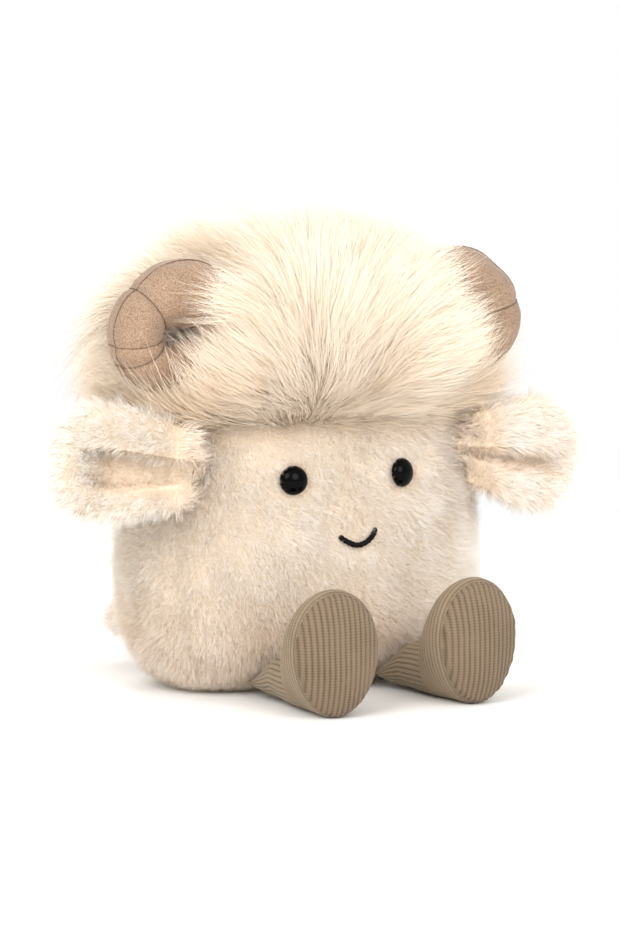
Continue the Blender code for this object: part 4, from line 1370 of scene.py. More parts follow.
@dataclass
class Mane:
    """The long pile on the crown: a core dome with pockets for the horns, and the strands on it.

    The pairs mean the same as those of the body. The fan is the place that the strands spread from.
    """

    horn: HornForm
    half_width: float = 57.5 * MM
    half_depth: float = 41.0 * MM
    low: float = 84.0 * MM
    top: float = 136.0 * MM
    set_back: float = 2.5 * MM
    plan_power: float = 2.2
    columns: int = 156
    rows: int = 58
    lump: float = 1.2 * MM
    pocket: float = 22.0 * MM
    rim: float = 4.0 * MM
    left_shift: float = 3.0 * MM
    right_shift: float = 1.8 * MM
    pocket_depth: float = 4.5 * MM
    fan: tuple[float, float, float] = (-9.0 * MM, -36.0 * MM, 60.0 * MM)
    fan_spread: float = 1.6
    rear_cover: float = 0.53
    rear_depth: tuple[float, float] = (-8.0 * MM, 26.0 * MM)
    crown_height: tuple[float, float] = (112.0 * MM, 132.0 * MM)
    hairline: tuple[float, float] = (86.0 * MM, 104.0 * MM)
    tuft_height: tuple[float, float] = (98.0 * MM, 118.0 * MM)
    draw: float = 1.6
    drawn_ring: tuple[float, float] = (26.0 * MM, 8.0 * MM)
    # Painted shade: a warm band along the hairline, under the pile's overhang.
    hair_shade: tuple[float, float] = (85.0 * MM, 5.0 * MM)
    fine_comb: float = 0.42
    broad_comb: float = 0.45
    unevenness: float = 0.34
    tuft: float = 0.30
    pile_length: float = 21.0 * MM
    width_shares: tuple[float, ...] = (0.90, 0.95, 0.99, 1.0, 1.0, 0.98, 0.92, 0.81, 0.64, 0.38)

    def build(self, shop: Workshop) -> None:
        """Makes the core and the pile."""
        skin = self.skin()
        dress(skin, shop.materials[BACKING.name])
        self.brush(skin)
        points = vertex_places(skin)
        cover = read_cover(skin)
        front = points[:, 1] < 0.0
        left = points[:, 0] >= 0.0
        regions = {
            "mane_pile_front_left": front & left,
            "mane_pile_front_right": front & ~left,
            "mane_pile_back_left": ~front & left,
            "mane_pile_back_right": ~front & ~left,
        }
        for name, region in regions.items():
            keep_cover(skin, np.where(region, cover, 0.0))
            pile = shop.pile.grow(skin, name, LONG_CUT, shop.materials[MANE_PILE.name])
            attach(pile, "body")
            LOG.info("%s: %d faces", name, len(pile.data.polygons))
        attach(skin, "body")
        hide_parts("mane", "crown_panel")

    def to_pocket(self, points: Array) -> tuple[Array, Array]:
        """How far the middle of each point's nearer horn pocket is from it, across and upwards."""
        side = np.sign(points[:, 0] + 1e-9)
        shift = np.where(side > 0.0, self.left_shift, self.right_shift)
        across = side * (self.horn.out + shift) - points[:, 0]
        return across, self.horn.height + shift - points[:, 2]

    def skin(self) -> Object:
        """The core that the long pile grows on."""
        turn = whole_turn(self.columns)
        across = signed_power(np.cos(turn), 2.0 / self.plan_power)
        along = signed_power(np.sin(turn), 2.0 / self.plan_power)
        rows = []
        for step in range(self.rows):
            share = math.sin(0.5 * math.pi * step / self.rows)
            width = float(curve_through(self.width_shares, np.array(share)))
            over = max(0.0, (share - 0.9) / 0.1)
            width *= 0.65 + 0.35 * math.sqrt(1.0 - over**2)
            height = np.full(self.columns, self.low + (self.top - self.low) * share)
            depth = self.half_depth * width * along + self.set_back * share
            rows.append(np.stack([self.half_width * width * across, depth, height], axis=-1))
        points = np.concatenate(rows)
        lumps = self.lump * soft_noise(points, 17.0 * MM, 1.0)
        points += unit(points - np.array([0.0, 0.0, 95.0 * MM])) * lumps[:, None]
        fore = points[:, 1] < 0.0
        tuck = 1.0 - 0.12 * (1.0 - smooth_step(84.0 * MM, 95.0 * MM, points[:, 2]))
        points[:, 1] = np.where(fore, points[:, 1] * tuck, points[:, 1])
        across, upward = self.to_pocket(points)
        reach = np.hypot(across, upward)
        hollow = 1.0 - smooth_step(self.pocket - self.rim, self.pocket + self.rim, reach)
        behind = -self.horn.forward + self.horn.tube_radius + self.pocket_depth
        pushed = np.maximum(points[:, 1], behind)
        points[:, 1] += (pushed - points[:, 1]) * hollow
        ends = np.array([[0.0, 0.0, self.low], [0.0, self.set_back, self.top]])
        return closed_tube("mane_backing", points, self.columns, ends)

    def brush(self, skin: Object) -> None:
        """Stores the pile's direction, length, cover and shade."""
        points = vertex_places(skin)
        fan = np.array(self.fan)
        away = unit((points - fan) * np.array([self.fan_spread, 1.0, 1.0]))
        down = np.tile(DOWN, (len(points), 1))
        outward = unit(points * np.array([1.0, 1.3, 0.0]) + np.array([0.0, 1e-6, 0.0]))
        back = smooth_step(*self.rear_depth, points[:, 1])
        sides = smooth_step(34.0 * MM, 54.0 * MM, np.abs(points[:, 0])) * 0.6
        crown = smooth_step(*self.crown_height, points[:, 2])
        drop = (np.clip(back + sides, 0.0, 1.0) * (1.0 - 0.8 * crown))[:, None]
        comb = away * (1.0 - drop) + (down * 0.6 + outward * 0.7) * drop
        across, upward = self.to_pocket(points)
        reach = np.hypot(across, upward)
        front = 1.0 - smooth_step(-12.0 * MM, 6.0 * MM, points[:, 1])
        drawn = (hump(reach, *self.drawn_ring) * front)[:, None]
        inward = np.stack([across, np.zeros(len(points)), upward], axis=1)
        comb = comb + self.draw * drawn * inward / reach[:, None]
        for axis in range(3):
            comb[:, axis] += self.fine_comb * soft_noise(points, 10.0 * MM, 4.0 + axis)
            comb[:, axis] += self.broad_comb * soft_noise(points, 24.0 * MM, 14.0 + axis)
        hairline = 1.0 - smooth_step(*self.hairline, points[:, 2])
        pile = self.pile_length * (1.0 + self.unevenness * soft_noise(points, 8.0 * MM, 8.0))
        middle = front * (1.0 - smooth_step(30.0 * MM, 44.0 * MM, np.abs(points[:, 0])))
        pile *= 1.0 - (0.12 + 0.55 * middle) * hairline
        pile *= 1.0 - 0.20 * crown
        top = smooth_step(*self.tuft_height, points[:, 2])
        pile *= 1.0 + self.tuft * top * soft_noise(points, 17.0 * MM, 21.0)
        pile *= 1.0 - 0.2 * back
        pocket = (1.0 - smooth_step(self.pocket - 5.0 * MM, self.pocket - 1.0 * MM, reach)) * front
        pile *= 1.0 - 0.6 * pocket
        tint = 0.20 + 0.18 * soft_noise(points, 14.0 * MM, 2.0) + 0.14 * soft_noise(points, 4.0 * MM, 3.0)
        # Painted shade along the hairline.
        tint += 0.32 * hump(points[:, 2], *self.hair_shade)
        # The second term is painted light: paler towards the crown.
        tint += 0.25 * drawn[:, 0] - 0.12 * smooth_step(104.0 * MM, 122.0 * MM, points[:, 2])
        press = 1.0 - 0.45 * crown + 0.6 * middle * hairline
        cover = 1.0 - (1.0 - self.rear_cover) * back
        brushed(skin, comb, pile, cover, tint, press)


# Horns.


@dataclass
class Horn:
    """One curled horn: a stuffed suedette tube with stitched ridges and a seam along its outer edge."""

    form: HornForm
    side: Side
    rings: int = 190
    columns: int = 56
    ridge_angles: tuple[float, ...] = (135.0, 32.0, -25.0, -46.0)
    ridge_slants: tuple[float, ...] = (0.0, 0.0, 8.0, 13.0)
    ridge_spread: float = math.radians(5.5)
    ridge_dip: float = 0.085
    seam_dip: float = 0.045
    seam_spread: float = 0.07
    rounding_start: float = 0.955
    fine_pucker: float = 0.22 * MM
    broad_pucker: float = 0.25 * MM
    edge_seam: float = math.radians(16.0)
    stitch: float = 2.3 * MM
    stitch_overlap: float = 0.88
    thread: float = 0.42 * MM

    def ridges(self, tube: Array) -> list[Array]:
        """The angles of this horn's ridge lines round its curl, at angles round its tube."""
        turn = self.side.pick(self.form.left_turn, 0.0)
        outer = 0.5 + 0.5 * np.cos(tube)
        return [
            math.radians(angle) + turn + math.radians(slant) * outer
            for angle, slant in zip(self.ridge_angles, self.ridge_slants)
        ]

    def ring(self, share: Array, tube: Array, swell: float = 0.0) -> Array:
        """Points on the tube.

        Args:
            share: Shares of the curl's sweep.
            tube: Angles round the tube: 0 points away from the curl's middle, a quarter turn to the front.
            swell: How far outside the surface.

        Returns:
            One point per row.
        """
        side = self.side.value
        centre = self.form.centre(share, side)
        along = unit(self.form.centre(share + 0.001, side) - self.form.centre(share - 0.001, side))
        front = np.array([0.0, -1.0, 0.0])
        front = unit(front - along * np.sum(along * front, axis=-1, keepdims=True))
        away = unit(np.cross(front, along)) * side
        angle = self.form.start - self.form.sweep * share
        radius = self.form.tube_radius * curve_through(self.form.tube_shares, share)
        dip = sum(hump(angle, ridge, self.ridge_spread) for ridge in self.ridges(tube))
        seam = hump(np.sin(tube / 2.0), 0.0, self.seam_spread)
        radius = radius * (1.0 - self.ridge_dip * dip - self.seam_dip * seam) + swell
        return centre + (away * np.cos(tube)[..., None] + front * np.sin(tube)[..., None]) * radius[..., None]

    def build(self, shop: Workshop) -> None:
        """Makes the horn, its ridge stitches and its seam."""
        word = self.side.word
        last = 1.0 - (self.form.tip_turn * 0.35) / self.form.sweep
        shares = np.linspace(0.0, last, self.rings)
        share, tube = np.meshgrid(shares, whole_turn(self.columns), indexing="ij")
        grid = self.ring(share, tube)
        end = smooth_step(self.rounding_start, 1.0, share / last)[..., None]
        tip = self.form.centre(np.array(last), self.side.value)
        grid = tip + (grid - tip) * np.sqrt(np.maximum(0.0, 1.0 - end**2)) + (grid - tip) * 0.02 * end
        points = grid.reshape(-1, 3)
        puckers = self.fine_pucker * soft_noise(points, 4.0 * MM, 11.0)
        puckers += self.broad_pucker * soft_noise(points, 11.0 * MM, 12.0)
        centres = self.form.centre(share, self.side.value).reshape(-1, 3)
        points = points + unit(points - centres) * puckers[:, None]
        start = self.form.centre(np.array(0.0), self.side.value)
        ends = np.array([start, points[-self.columns :].mean(axis=0)])
        horn = closed_tube("horn_" + word + "_cover", points, self.columns, ends)
        dress(horn, shop.materials[SUEDETTE.name])
        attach(horn, "body")
        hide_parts(f"horn_{word}_front", f"horn_{word}_back")
        lines = []
        around = np.linspace(math.radians(4.0), math.radians(356.0), 60)
        for ridge in self.ridges(around):
            place = (self.form.start - ridge) / self.form.sweep
            wander = 0.0012 * np.sin(3.0 * around + ridge[0])
            lines.append(self.ring(place + wander, around, 0.08 * MM))
        edge = np.linspace(0.05, 0.9, 120)
        lines.append(self.ring(edge, np.full(len(edge), self.edge_seam), 0.05 * MM))
        threads = shop.stitches.sew(
            "horn_" + word + "_stitches",
            lines,
            self.stitch_overlap * self.stitch,
            self.stitch,
            self.thread,
            shop.materials[RIDGE_THREAD.name],
        )
        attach(threads, "body")
        LOG.info("horn %s: %d faces", word, len(horn.data.polygons))


# Ears.


@dataclass
class Ear:
    """One ear: two cloths folded to a trough at the root, with plush pile on both sides."""

    form: BodyForm
    side: Side
    length: float = 44.0 * MM
    half_height: float = 17.2 * MM
    root_radius: float = 5.2 * MM
    left_seat: float = 3.95 * MM
    right_seat: float = 4.45 * MM
    height: float = 71.6 * MM
    backward: float = math.radians(13.0)
    root_fold: float = math.radians(150.0)
    root_reach: float = 3.2 * MM
    left_lift: float = math.radians(-8.0)
    right_lift: float = math.radians(6.0)
    half_thickness: float = 1.7 * MM
    upper_roll: float = 5.0 * MM
    lower_roll: float = 2.8 * MM
    tip_share: float = 0.985
    wave: float = 0.9 * MM
    unevenness: float = 0.25
    inward_comb: tuple[float, float] = (-3.0 * MM, 7.0 * MM)
    # Painted shade near the root, where the mane and the body shade the ear.
    root_shade: tuple[float, float] = (-2.0 * MM, 9.0 * MM)
    hollow_end: tuple[float, float] = (20.0 * MM, 30.0 * MM)
    pile_length: float = 4.6 * MM
    blend_back: float = 4.0 * MM
    blend_out: float = 10.0 * MM
    rows: int = 64
    columns: int = 66
    along_shares: tuple[float, ...] = (0.0, 0.10, 0.24, 0.40, 0.56, 0.71, 0.84, 0.93, 0.985, 1.0)
    height_shares: tuple[float, ...] = (0.66, 0.76, 0.88, 0.97, 1.0, 0.98, 0.87, 0.67, 0.37, 0.12)
    fold_shares: tuple[float, ...] = (0.50, 0.55, 0.52, 0.44, 0.34, 0.26, 0.21, 0.19, 0.19, 0.19)
    left_hollow: tuple[float, float] = (-0.34, 0.02)
    right_hollow: tuple[float, float] = (-0.48, 0.26)

    def frame(self) -> tuple[Vector, Vector, Vector, Vector]:
        """The ear's pivot, and its directions out along it, to its back and up."""
        side = self.side.value
        angle = self.side.pick(-self.form.left_seam, self.form.right_seam - math.pi)
        wall, away = self.form.wall(angle, self.height)
        pivot = wall + away * (0.3 * MM + self.side.pick(self.left_seat, self.right_seat))
        out = Vector((side * math.cos(self.backward), math.sin(self.backward), 0.0))
        up = Vector((0.0, 0.0, 1.0))
        return pivot, out, up.cross(out) * side, up

    def sheet(self, place: Array, across: Array, depth: Array) -> Array:
        """Points of the ear.

        Args:
            place: From 0 at the root to 1 at the tip.
            across: From -1 at the lower edge to 1 at the upper one.
            depth: Distance in front of the middle of its two cloths.

        Returns:
            One point per row.
        """
        pivot, outward, backward, upward = (np.array(part) for part in self.frame())
        along = curve_through(self.along_shares, place)
        fold = self.root_fold * curve_through(self.fold_shares, place)
        radius = 2.0 * self.half_height * curve_through(self.height_shares, place) / fold
        turn = across * fold / 2.0
        forward = radius * (1.0 - np.cos(turn)) + depth * np.cos(turn)
        height = (radius - depth) * np.sin(turn)
        rounding = np.sqrt(np.maximum(0.0, self.root_radius**2 - height**2 - forward**2)) * (1.0 - along)
        out = (self.length - self.root_radius) * along - rounding
        out = out - self.root_reach * (1.0 - smooth_step(0.0, 0.25, place))
        lift = self.side.pick(self.left_lift, self.right_lift)
        flat_out = out * math.cos(lift) - height * math.sin(lift)
        flat_up = out * math.sin(lift) + height * math.cos(lift)
        level = pivot + outward * flat_out[..., None] - backward * forward[..., None]
        return level + upward * flat_up[..., None]

    def build(self, shop: Workshop) -> None:
        """Makes the ear's backing and its pile."""
        word = self.side.word
        body = "ear_" + word
        columns = 2 * self.columns
        place = np.linspace(0.0, self.tip_share, self.rows)[:, None]
        turn = whole_turn(columns)[None, :]
        across = np.cos(turn) * np.ones_like(place)
        thick = self.half_thickness * (1.0 - smooth_step(0.86, self.tip_share, place) * 0.9)
        low, high = self.side.pick(self.left_hollow, self.right_hollow)
        hollow = 1.0 - smooth_step(0.46, 0.70, place)
        upper = 1.0 - hollow * (1.0 - smooth_step(high - 0.07, high + 0.07, across))
        lower = hollow * (1.0 - smooth_step(low - 0.12, low + 0.12, across))
        edge = np.sqrt(np.maximum(0.0, 1.0 - across**2)) * (1.0 - smooth_step(0.80, self.tip_share, place))
        roll = (self.upper_roll * upper + self.lower_roll * lower) * edge * smooth_step(0.0, 0.12, place)
        facing = np.sin(turn) > 0.0
        depth = signed_power(np.sin(turn), 0.6) * thick + np.where(facing, roll, 0.0)
        grid = self.sheet(place * np.ones_like(across), across, depth)
        wave = self.wave * soft_noise(grid.reshape(-1, 3), 13.0 * MM, 6.0 * self.side.value)
        points = grid.reshape(-1, 3) + np.array([0.0, 1.0, 0.0]) * wave[:, None]
        ends = np.array([points[:columns].mean(axis=0), points[-columns:].mean(axis=0)])
        skin = closed_tube(f"ear_{word}_backing", points, columns, ends)
        dress(skin, shop.materials[BACKING.name])
        self.brush(skin)
        pile = shop.pile.grow(skin, f"ear_{word}_pile", FLUFFY_CUT, shop.materials[BODY_PILE.name])
        pivot, out, _, _ = self.frame()
        start, end = pivot - out * self.blend_back, pivot + out * self.blend_out
        for piece in (pile, skin):
            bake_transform(piece, "body", body, start=tuple(start), end=tuple(end))
        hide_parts(f"ear_{word}_inner", f"ear_{word}_outer")
        LOG.info("ear %s: %d faces of pile", word, len(pile.data.polygons))

    def brush(self, skin: Object) -> None:
        """Stores the pile's direction, length, cover and shade."""
        points = vertex_places(skin)
        normals = vertex_normals(skin)
        pivot, outward, backward, upward = (np.array(part) for part in self.frame())
        reach = (points - pivot) @ outward
        comb = np.tile(outward, (len(points), 1)) - upward * 0.35
        comb = comb + 0.7 * unit(points - pivot)
        inward = 1.0 - smooth_step(*self.inward_comb, reach)
        comb = comb * (1.0 - 1.8 * inward[:, None])
        comb[:, 0] += 0.4 * soft_noise(points, 8.0 * MM, 4.0)
        comb[:, 2] += 0.4 * soft_noise(points, 8.0 * MM, 5.0)
        pile = self.pile_length * (1.0 + self.unevenness * soft_noise(points, 7.0 * MM, 7.0))
        lift = self.side.pick(self.left_lift, self.right_lift)
        level = (points - pivot) @ upward - reach * math.tan(lift)
        low, high = self.side.pick(self.left_hollow, self.right_hollow)
        low, high = low * self.half_height, high * self.half_height
        inner = smooth_step(0.0, 0.5, -(normals @ backward))
        inner *= 1.0 - smooth_step(*self.hollow_end, reach)
        inner *= smooth_step(low - 2.0 * MM, low + 1.0 * MM, level)
        inner *= 1.0 - smooth_step(high - 1.0 * MM, high + 1.5 * MM, level)
        pile *= 1.0 - 0.5 * inner
        tint = 0.12 + 0.16 * soft_noise(points, 9.0 * MM, 2.0) + 0.18 * soft_noise(points, 3.0 * MM, 3.0)
        # Painted shade: warm in the ear's hollow, and warmer all over on the left ear, the one in shade.
        tint += 0.95 * inner + self.side.pick(0.22, 0.0)
        # Painted shade: warmer near the root.
        tint += 0.6 * (1.0 - smooth_step(*self.root_shade, reach))
        brushed(skin, comb, pile, np.ones(len(points)), tint)


# Legs.


@dataclass
class Leg:
    """One leg: a corduroy tube, a foot that stands up behind its sole, and the sole."""

    form: BodyForm
    side: Side
    out: float = 20.5 * MM
    root_height: float = 5.5 * MM
    splay: float = math.radians(4.5)
    length: float = 51.0 * MM
    tube_half_width: float = 10.0 * MM
    tube_half_height: float = 8.4 * MM
    foot_half_width: float = 14.0 * MM
    foot_half_height: float = 19.2 * MM
    egg_share: float = 0.07
    wale: float = 1.72 * MM
    wale_height: float = 0.34 * MM
    tube_wales: float = 32.0
    pick: float = 0.85 * MM
    lowest: float = 0.35 * MM
    sole_dome: float = 4.2 * MM
    sole_swell: float = 0.9 * MM
    sole_dip: float = 1.05 * MM
    sole_lump: float = 0.35 * MM
    sole_pucker: float = 0.55 * MM
    tube_along: tuple[float, ...] = (0.0, 0.04, 0.11, 0.20, 0.32, 0.46, 0.60)
    tube_width: tuple[float, ...] = (0.88, 0.95, 0.99, 1.0, 1.0, 0.98, 1.0)
    tube_height: tuple[float, ...] = (0.04, 0.14, 0.38, 0.68, 0.92, 1.0, 1.0)
    foot_along: tuple[float, ...] = (0.60, 0.615, 0.65, 0.70, 0.765, 0.84, 0.91)
    foot_width: tuple[float, ...] = (0.73, 0.82, 0.90, 0.96, 0.99, 1.0, 0.985)
    foot_height: tuple[float, ...] = (0.46, 0.56, 0.72, 0.86, 0.96, 1.0, 0.99)
    rise_start: float = 0.11
    rise_end: float = 0.32

    def pivot(self) -> tuple[Array, Array]:
        """The middle of the hip seam, and the level direction of that seam."""
        side = self.side.value
        place, normal = self.form.front(side * self.out, self.root_height)
        level = Vector((-normal.y, normal.x, 0.0)).normalized()
        level = level if level.x > 0.0 else -level
        gap = 0.3 * MM + self.tube_half_height * self.tube_height[0]
        return np.array(place + normal * gap), np.array(level)

    def directions(self) -> tuple[Array, Array]:
        """The level directions out along the leg and square to it."""
        sine, cosine = self.side.value * math.sin(self.splay), math.cos(self.splay)
        return np.array([sine, -cosine, 0.0]), np.array([cosine, sine, 0.0])

    def ring(self, along: Array, half_width: Array, half_height: Array, egg: Array, turn: Array) -> Array:
        """Points round the leg.

        Args:
            along: Shares of its length.
            half_width: Half width there.
            half_height: Half height there.
            egg: How much wider it is above its middle.
            turn: Angles round it, 0 to its side and a quarter turn on top.

        Returns:
            One point per row.
        """
        pivot, seam = self.pivot()
        forward, square = self.directions()
        turned = np.minimum(1.0, along / self.tube_along[-1])[..., None]
        sideways = unit(seam * (1.0 - turned) + square * turned)
        lying = np.clip((along - self.rise_start) / (self.rise_end - self.rise_start), 0.0, 1.0)
        resting = np.maximum(half_height, self.tube_half_height)
        middle = pivot + forward * (self.length * along)[..., None]
        middle[..., 2] = pivot[2] + (resting - pivot[2]) * lying
        across = half_width * np.cos(turn) * (1.0 + egg * np.sin(turn))
        upward = np.zeros_like(middle)
        upward[..., 2] = half_height * np.sin(turn)
        return middle + sideways * across[..., None] + upward

    def wale_profile(self, count: Array) -> Array:
        """Height of the wales, 0 in a groove and 1 on a crest, where count goes up by 1 at each groove."""
        return np.abs(np.sin(math.pi * count)) ** 0.85

    def raise_wales(
        self, name: str, points: Array, faces: list, wale: Array, travel: Array, shop: Workshop
    ) -> Object:
        """Makes a cloth and lifts its wales off it.

        Args:
            name: The piece's name.
            points: Its vertices.
            faces: Its faces.
            wale: Height of the wales at each vertex, from 0 to 1.
            travel: Distance along the wales at each vertex.
            shop: The workshop.

        Returns:
            The cloth.
        """
        piece = mesh_object(name, points, faces)
        store(piece, "pick", travel / self.pick)
        lifted = vertex_places(piece) + vertex_normals(piece) * ((wale - 1.0) * self.wale_height)[:, None]
        piece.data.vertices.foreach_set("co", lifted.astype(np.float32).ravel())
        piece.data.update()
        store(piece, "wale", wale)
        dress(piece, shop.materials[CORDUROY.name])
        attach(piece, "leg_" + self.side.word)
        return piece

    def build(self, shop: Workshop) -> None:
        """Makes the leg's three cloths."""
        word = self.side.word
        tube = self.tube(shop)
        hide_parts(f"leg_{word}_tube")
        foot = self.foot(shop)
        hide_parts(f"leg_{word}_foot")
        sole = self.sole(shop)
        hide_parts(f"leg_{word}_sole")
        LOG.info("leg %s: tube, foot and sole", word)

    def tube(self, shop: Workshop) -> Object:
        """The tube, whose wales run along it."""
        rows, columns = 44, 256
        place, around = np.meshgrid(np.linspace(0.0, 1.0, rows), whole_turn(columns), indexing="ij")
        along = curve_through(self.tube_along, place)
        width = self.tube_half_width * curve_through(self.tube_width, place)
        height = self.tube_half_height * curve_through(self.tube_height, place)
        grid = self.ring(along, width, height, np.zeros_like(around), around)
        crease = 0.35 * MM * soft_noise(grid.reshape(-1, 3), 7.0 * MM, 3.0).reshape(rows, columns)
        grid[..., 2] += crease * smooth_step(0.0, 0.4, place) * (1.0 - smooth_step(0.8, 1.0, place))
        wales = self.wale_profile(around / math.tau * self.tube_wales)
        points = grid.reshape(-1, 3)
        faces = grid_faces(rows, columns, True)
        end = points[:columns].mean(axis=0)
        for column in range(columns):
            faces.append((column, (column + 1) % columns, len(points)))
        points = np.concatenate([points, [end]])
        points[:, 2] = np.maximum(points[:, 2], self.lowest)
        wale = np.append(wales.ravel(), 1.0)
        travel = np.append((along * self.length).ravel(), 0.0)
        name = "leg_" + self.side.word + "_tube_cover"
        return self.raise_wales(name, points, faces, wale, travel, shop)

    def foot(self, shop: Workshop) -> Object:
        """The foot's upper, whose wales run round it beside the sole."""
        rows, columns = 92, 84
        place, around = np.meshgrid(np.linspace(0.0, 1.0, rows), whole_turn(columns), indexing="ij")
        along = curve_through(self.foot_along, place)
        width = self.foot_half_width * curve_through(self.foot_width, place)
        height = self.foot_half_height * curve_through(self.foot_height, place)
        egg = self.egg_share * smooth_step(0.0, 0.35, place)
        grid = self.ring(along, width, height, egg, around)
        travelled = np.concatenate([[0.0], np.cumsum(np.linalg.norm(np.diff(grid[:, 0], axis=0), axis=1))])
        wales = self.wale_profile(travelled / self.wale)[:, None] * np.ones_like(around)
        edge = smooth_step(0.94, 1.0, place)
        middle = grid.mean(axis=1, keepdims=True)
        grid = middle + (grid - middle) * (1.0 - 0.035 * edge[..., None])
        points = grid.reshape(-1, 3)
        points[:, 2] = np.maximum(points[:, 2], self.lowest)
        faces = grid_faces(rows, columns, True)
        name = "leg_" + self.side.word + "_foot_cover"
        travel = (around * self.foot_half_height).ravel()
        return self.raise_wales(name, points, faces, wales.ravel(), travel, shop)

    def sole(self, shop: Workshop) -> Object:
        """The domed sole, whose wales run up it."""
        rows, columns = 64, 136
        pivot, _ = self.pivot()
        side = self.side.value
        forward, square = self.directions()
        half_width = self.foot_half_width * self.foot_width[-1]
        half_height = self.foot_half_height * self.foot_height[-1]
        across = np.linspace(-1.0, 1.0, columns) * 0.9985
        upward = np.linspace(-1.0, 1.0, rows)
        wide, tall = np.meshgrid(across, upward)
        reach_up = np.sqrt(1.0 - wide**2)
        level = tall * reach_up
        distance = np.sqrt(wide**2 + level**2)
        lean = wide * (1.0 + self.egg_share * level)
        dome = self.sole_dome * (1.0 - distance**2.6) + self.sole_swell
        dip = self.sole_dip * smooth_step(0.90, 1.0, distance)
        seat = self.length * self.foot_along[-1]
        drawn = 1.0 - 0.02 * smooth_step(0.93, 1.0, distance)
        points = pivot + square * (half_width * lean * drawn)[..., None]
        points = points + forward * (seat + dome - dip)[..., None]
        points[..., 2] = half_height + half_height * level * drawn
        lumps = self.sole_lump * soft_noise(points.reshape(-1, 3), 9.0 * MM, 8.0 + side)
        lumps = lumps.reshape(rows, columns) * (1.0 - smooth_step(0.8, 1.0, distance))
        points = points + forward * lumps[..., None]
        pucker = self.sole_pucker * soft_noise(points.reshape(-1, 3), 2.6 * MM, 5.0 + side)
        pucker = pucker.reshape(rows, columns) * smooth_step(0.80, 0.93, distance)
        points = points + forward * pucker[..., None]
        wales = self.wale_profile(wide * half_width / self.wale + 0.5)
        flat = points.reshape(-1, 3)
        flat[:, 2] = np.maximum(flat[:, 2], self.lowest)
        name = "leg_" + self.side.word + "_sole_cover"
        faces = grid_faces(rows, columns, False)
        piece = self.raise_wales(name, flat, faces, wales.ravel(), (half_height * level).ravel(), shop)
        # Painted shade: the sole takes the darker copy of the needlecord.
        dress(piece, shop.materials[SOLE_CORDUROY_PAINTED_SHADE.name])
        return piece


# Tail.


@dataclass
class Tail:
    """The stub tail: a stuffed plush sleeve that leans to the toy's right."""

    form: BodyForm
    height: float = 21.0 * MM
    droop: float = 7.0 * MM
    length: float = 43.0 * MM
    half_width: float = 9.0 * MM
    half_height: float = 8.5 * MM
    lean: float = math.radians(58.0)
    inset: float = 1.6 * MM
    pile_length: float = 5.0 * MM
    unevenness: float = 0.25
    inward_comb: tuple[float, float] = (1.0 * MM, 9.0 * MM)
    thinnest: float = 0.2 * MM
    rows: int = 36
    columns: int = 48
    along_shares: tuple[float, ...] = (0.0, 0.10, 0.24, 0.40, 0.58, 0.75, 0.88, 0.965, 1.0)
    width_shares: tuple[float, ...] = (0.07, 0.38, 0.72, 0.94, 1.0, 0.93, 0.72, 0.40, 0.05)
    height_shares: tuple[float, ...] = (0.55, 0.70, 0.86, 0.97, 1.0, 0.93, 0.72, 0.40, 0.05)

    def build(self, shop: Workshop) -> None:
        """Makes the tail's backing and its pile."""
        seat = np.array(self.form.point(math.pi / 2, self.height)) + np.array([0.0, 0.9 * MM, 0.0])
        backward = np.array([-math.sin(self.lean), math.cos(self.lean), 0.0])
        square = np.array([math.cos(self.lean), math.sin(self.lean), 0.0])
        drop = np.array([0.0, 0.0, -self.droop])
        place = np.linspace(0.0, 1.0, self.rows)[:, None]
        turn = whole_turn(self.columns)[None, :]
        along = curve_through(self.along_shares, place)[..., None]
        width = self.half_width * curve_through(self.width_shares, place) - self.inset
        height = self.half_height * curve_through(self.height_shares, place) - self.inset
        width, height = np.maximum(width, self.thinnest), np.maximum(height, self.thinnest)
        grid = (
            seat
            + (backward * self.length + drop) * along
            + square * (width * np.cos(turn))[..., None]
            + np.array([0.0, 0.0, 1.0]) * (height * np.sin(turn))[..., None]
        )
        points = grid.reshape(-1, 3)
        ends = np.array([points[: self.columns].mean(axis=0), points[-self.columns :].mean(axis=0)])
        skin = closed_tube("tail_backing", points, self.columns, ends)
        dress(skin, shop.materials[BACKING.name])
        places = vertex_places(skin)
        comb = np.tile(backward, (len(places), 1)) + np.array([0.0, 0.0, -0.4])
        inward = 1.0 - smooth_step(*self.inward_comb, (places - seat) @ backward)
        comb = comb * (1.0 - 1.9 * inward[:, None])
        pile = self.pile_length * (1.0 + self.unevenness * soft_noise(places, 7.0 * MM, 7.0))
        tint = 0.3 + 0.25 * soft_noise(places, 8.0 * MM, 2.0)
        brushed(skin, comb, pile, np.ones(len(places)), tint)
        pile_piece = shop.pile.grow(skin, "tail_pile", FLUFFY_CUT, shop.materials[BODY_PILE.name])
        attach(pile_piece, "tail")
        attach(skin, "tail")
        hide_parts("tail_cover")
        LOG.info("tail: %d faces of pile", len(pile_piece.data.polygons))


# Inside.


@dataclass
class Inside:
    """What the cloths hold: fibre filling, the pellet pouch and the eyes' washers."""

    nodes: dict[str, Object]

    def build(self, shop: Workshop) -> None:
        """Gives each hidden CAD node its material."""
        for name, node in self.nodes.items():
            if name.endswith("_stuffing"):
                dress(node, shop.materials[FILLING.name])
            elif name.startswith("bean_pouch"):
                dress(node, shop.materials[LINING.name])
            elif name == "bean_pellets":
                dress(node, shop.materials[PELLET.name])
            elif name.startswith("eye_washer"):
                dress(node, shop.materials[WASHER.name])
        LOG.info("inside: filling, pouch, pellets and washers")


# Studio.


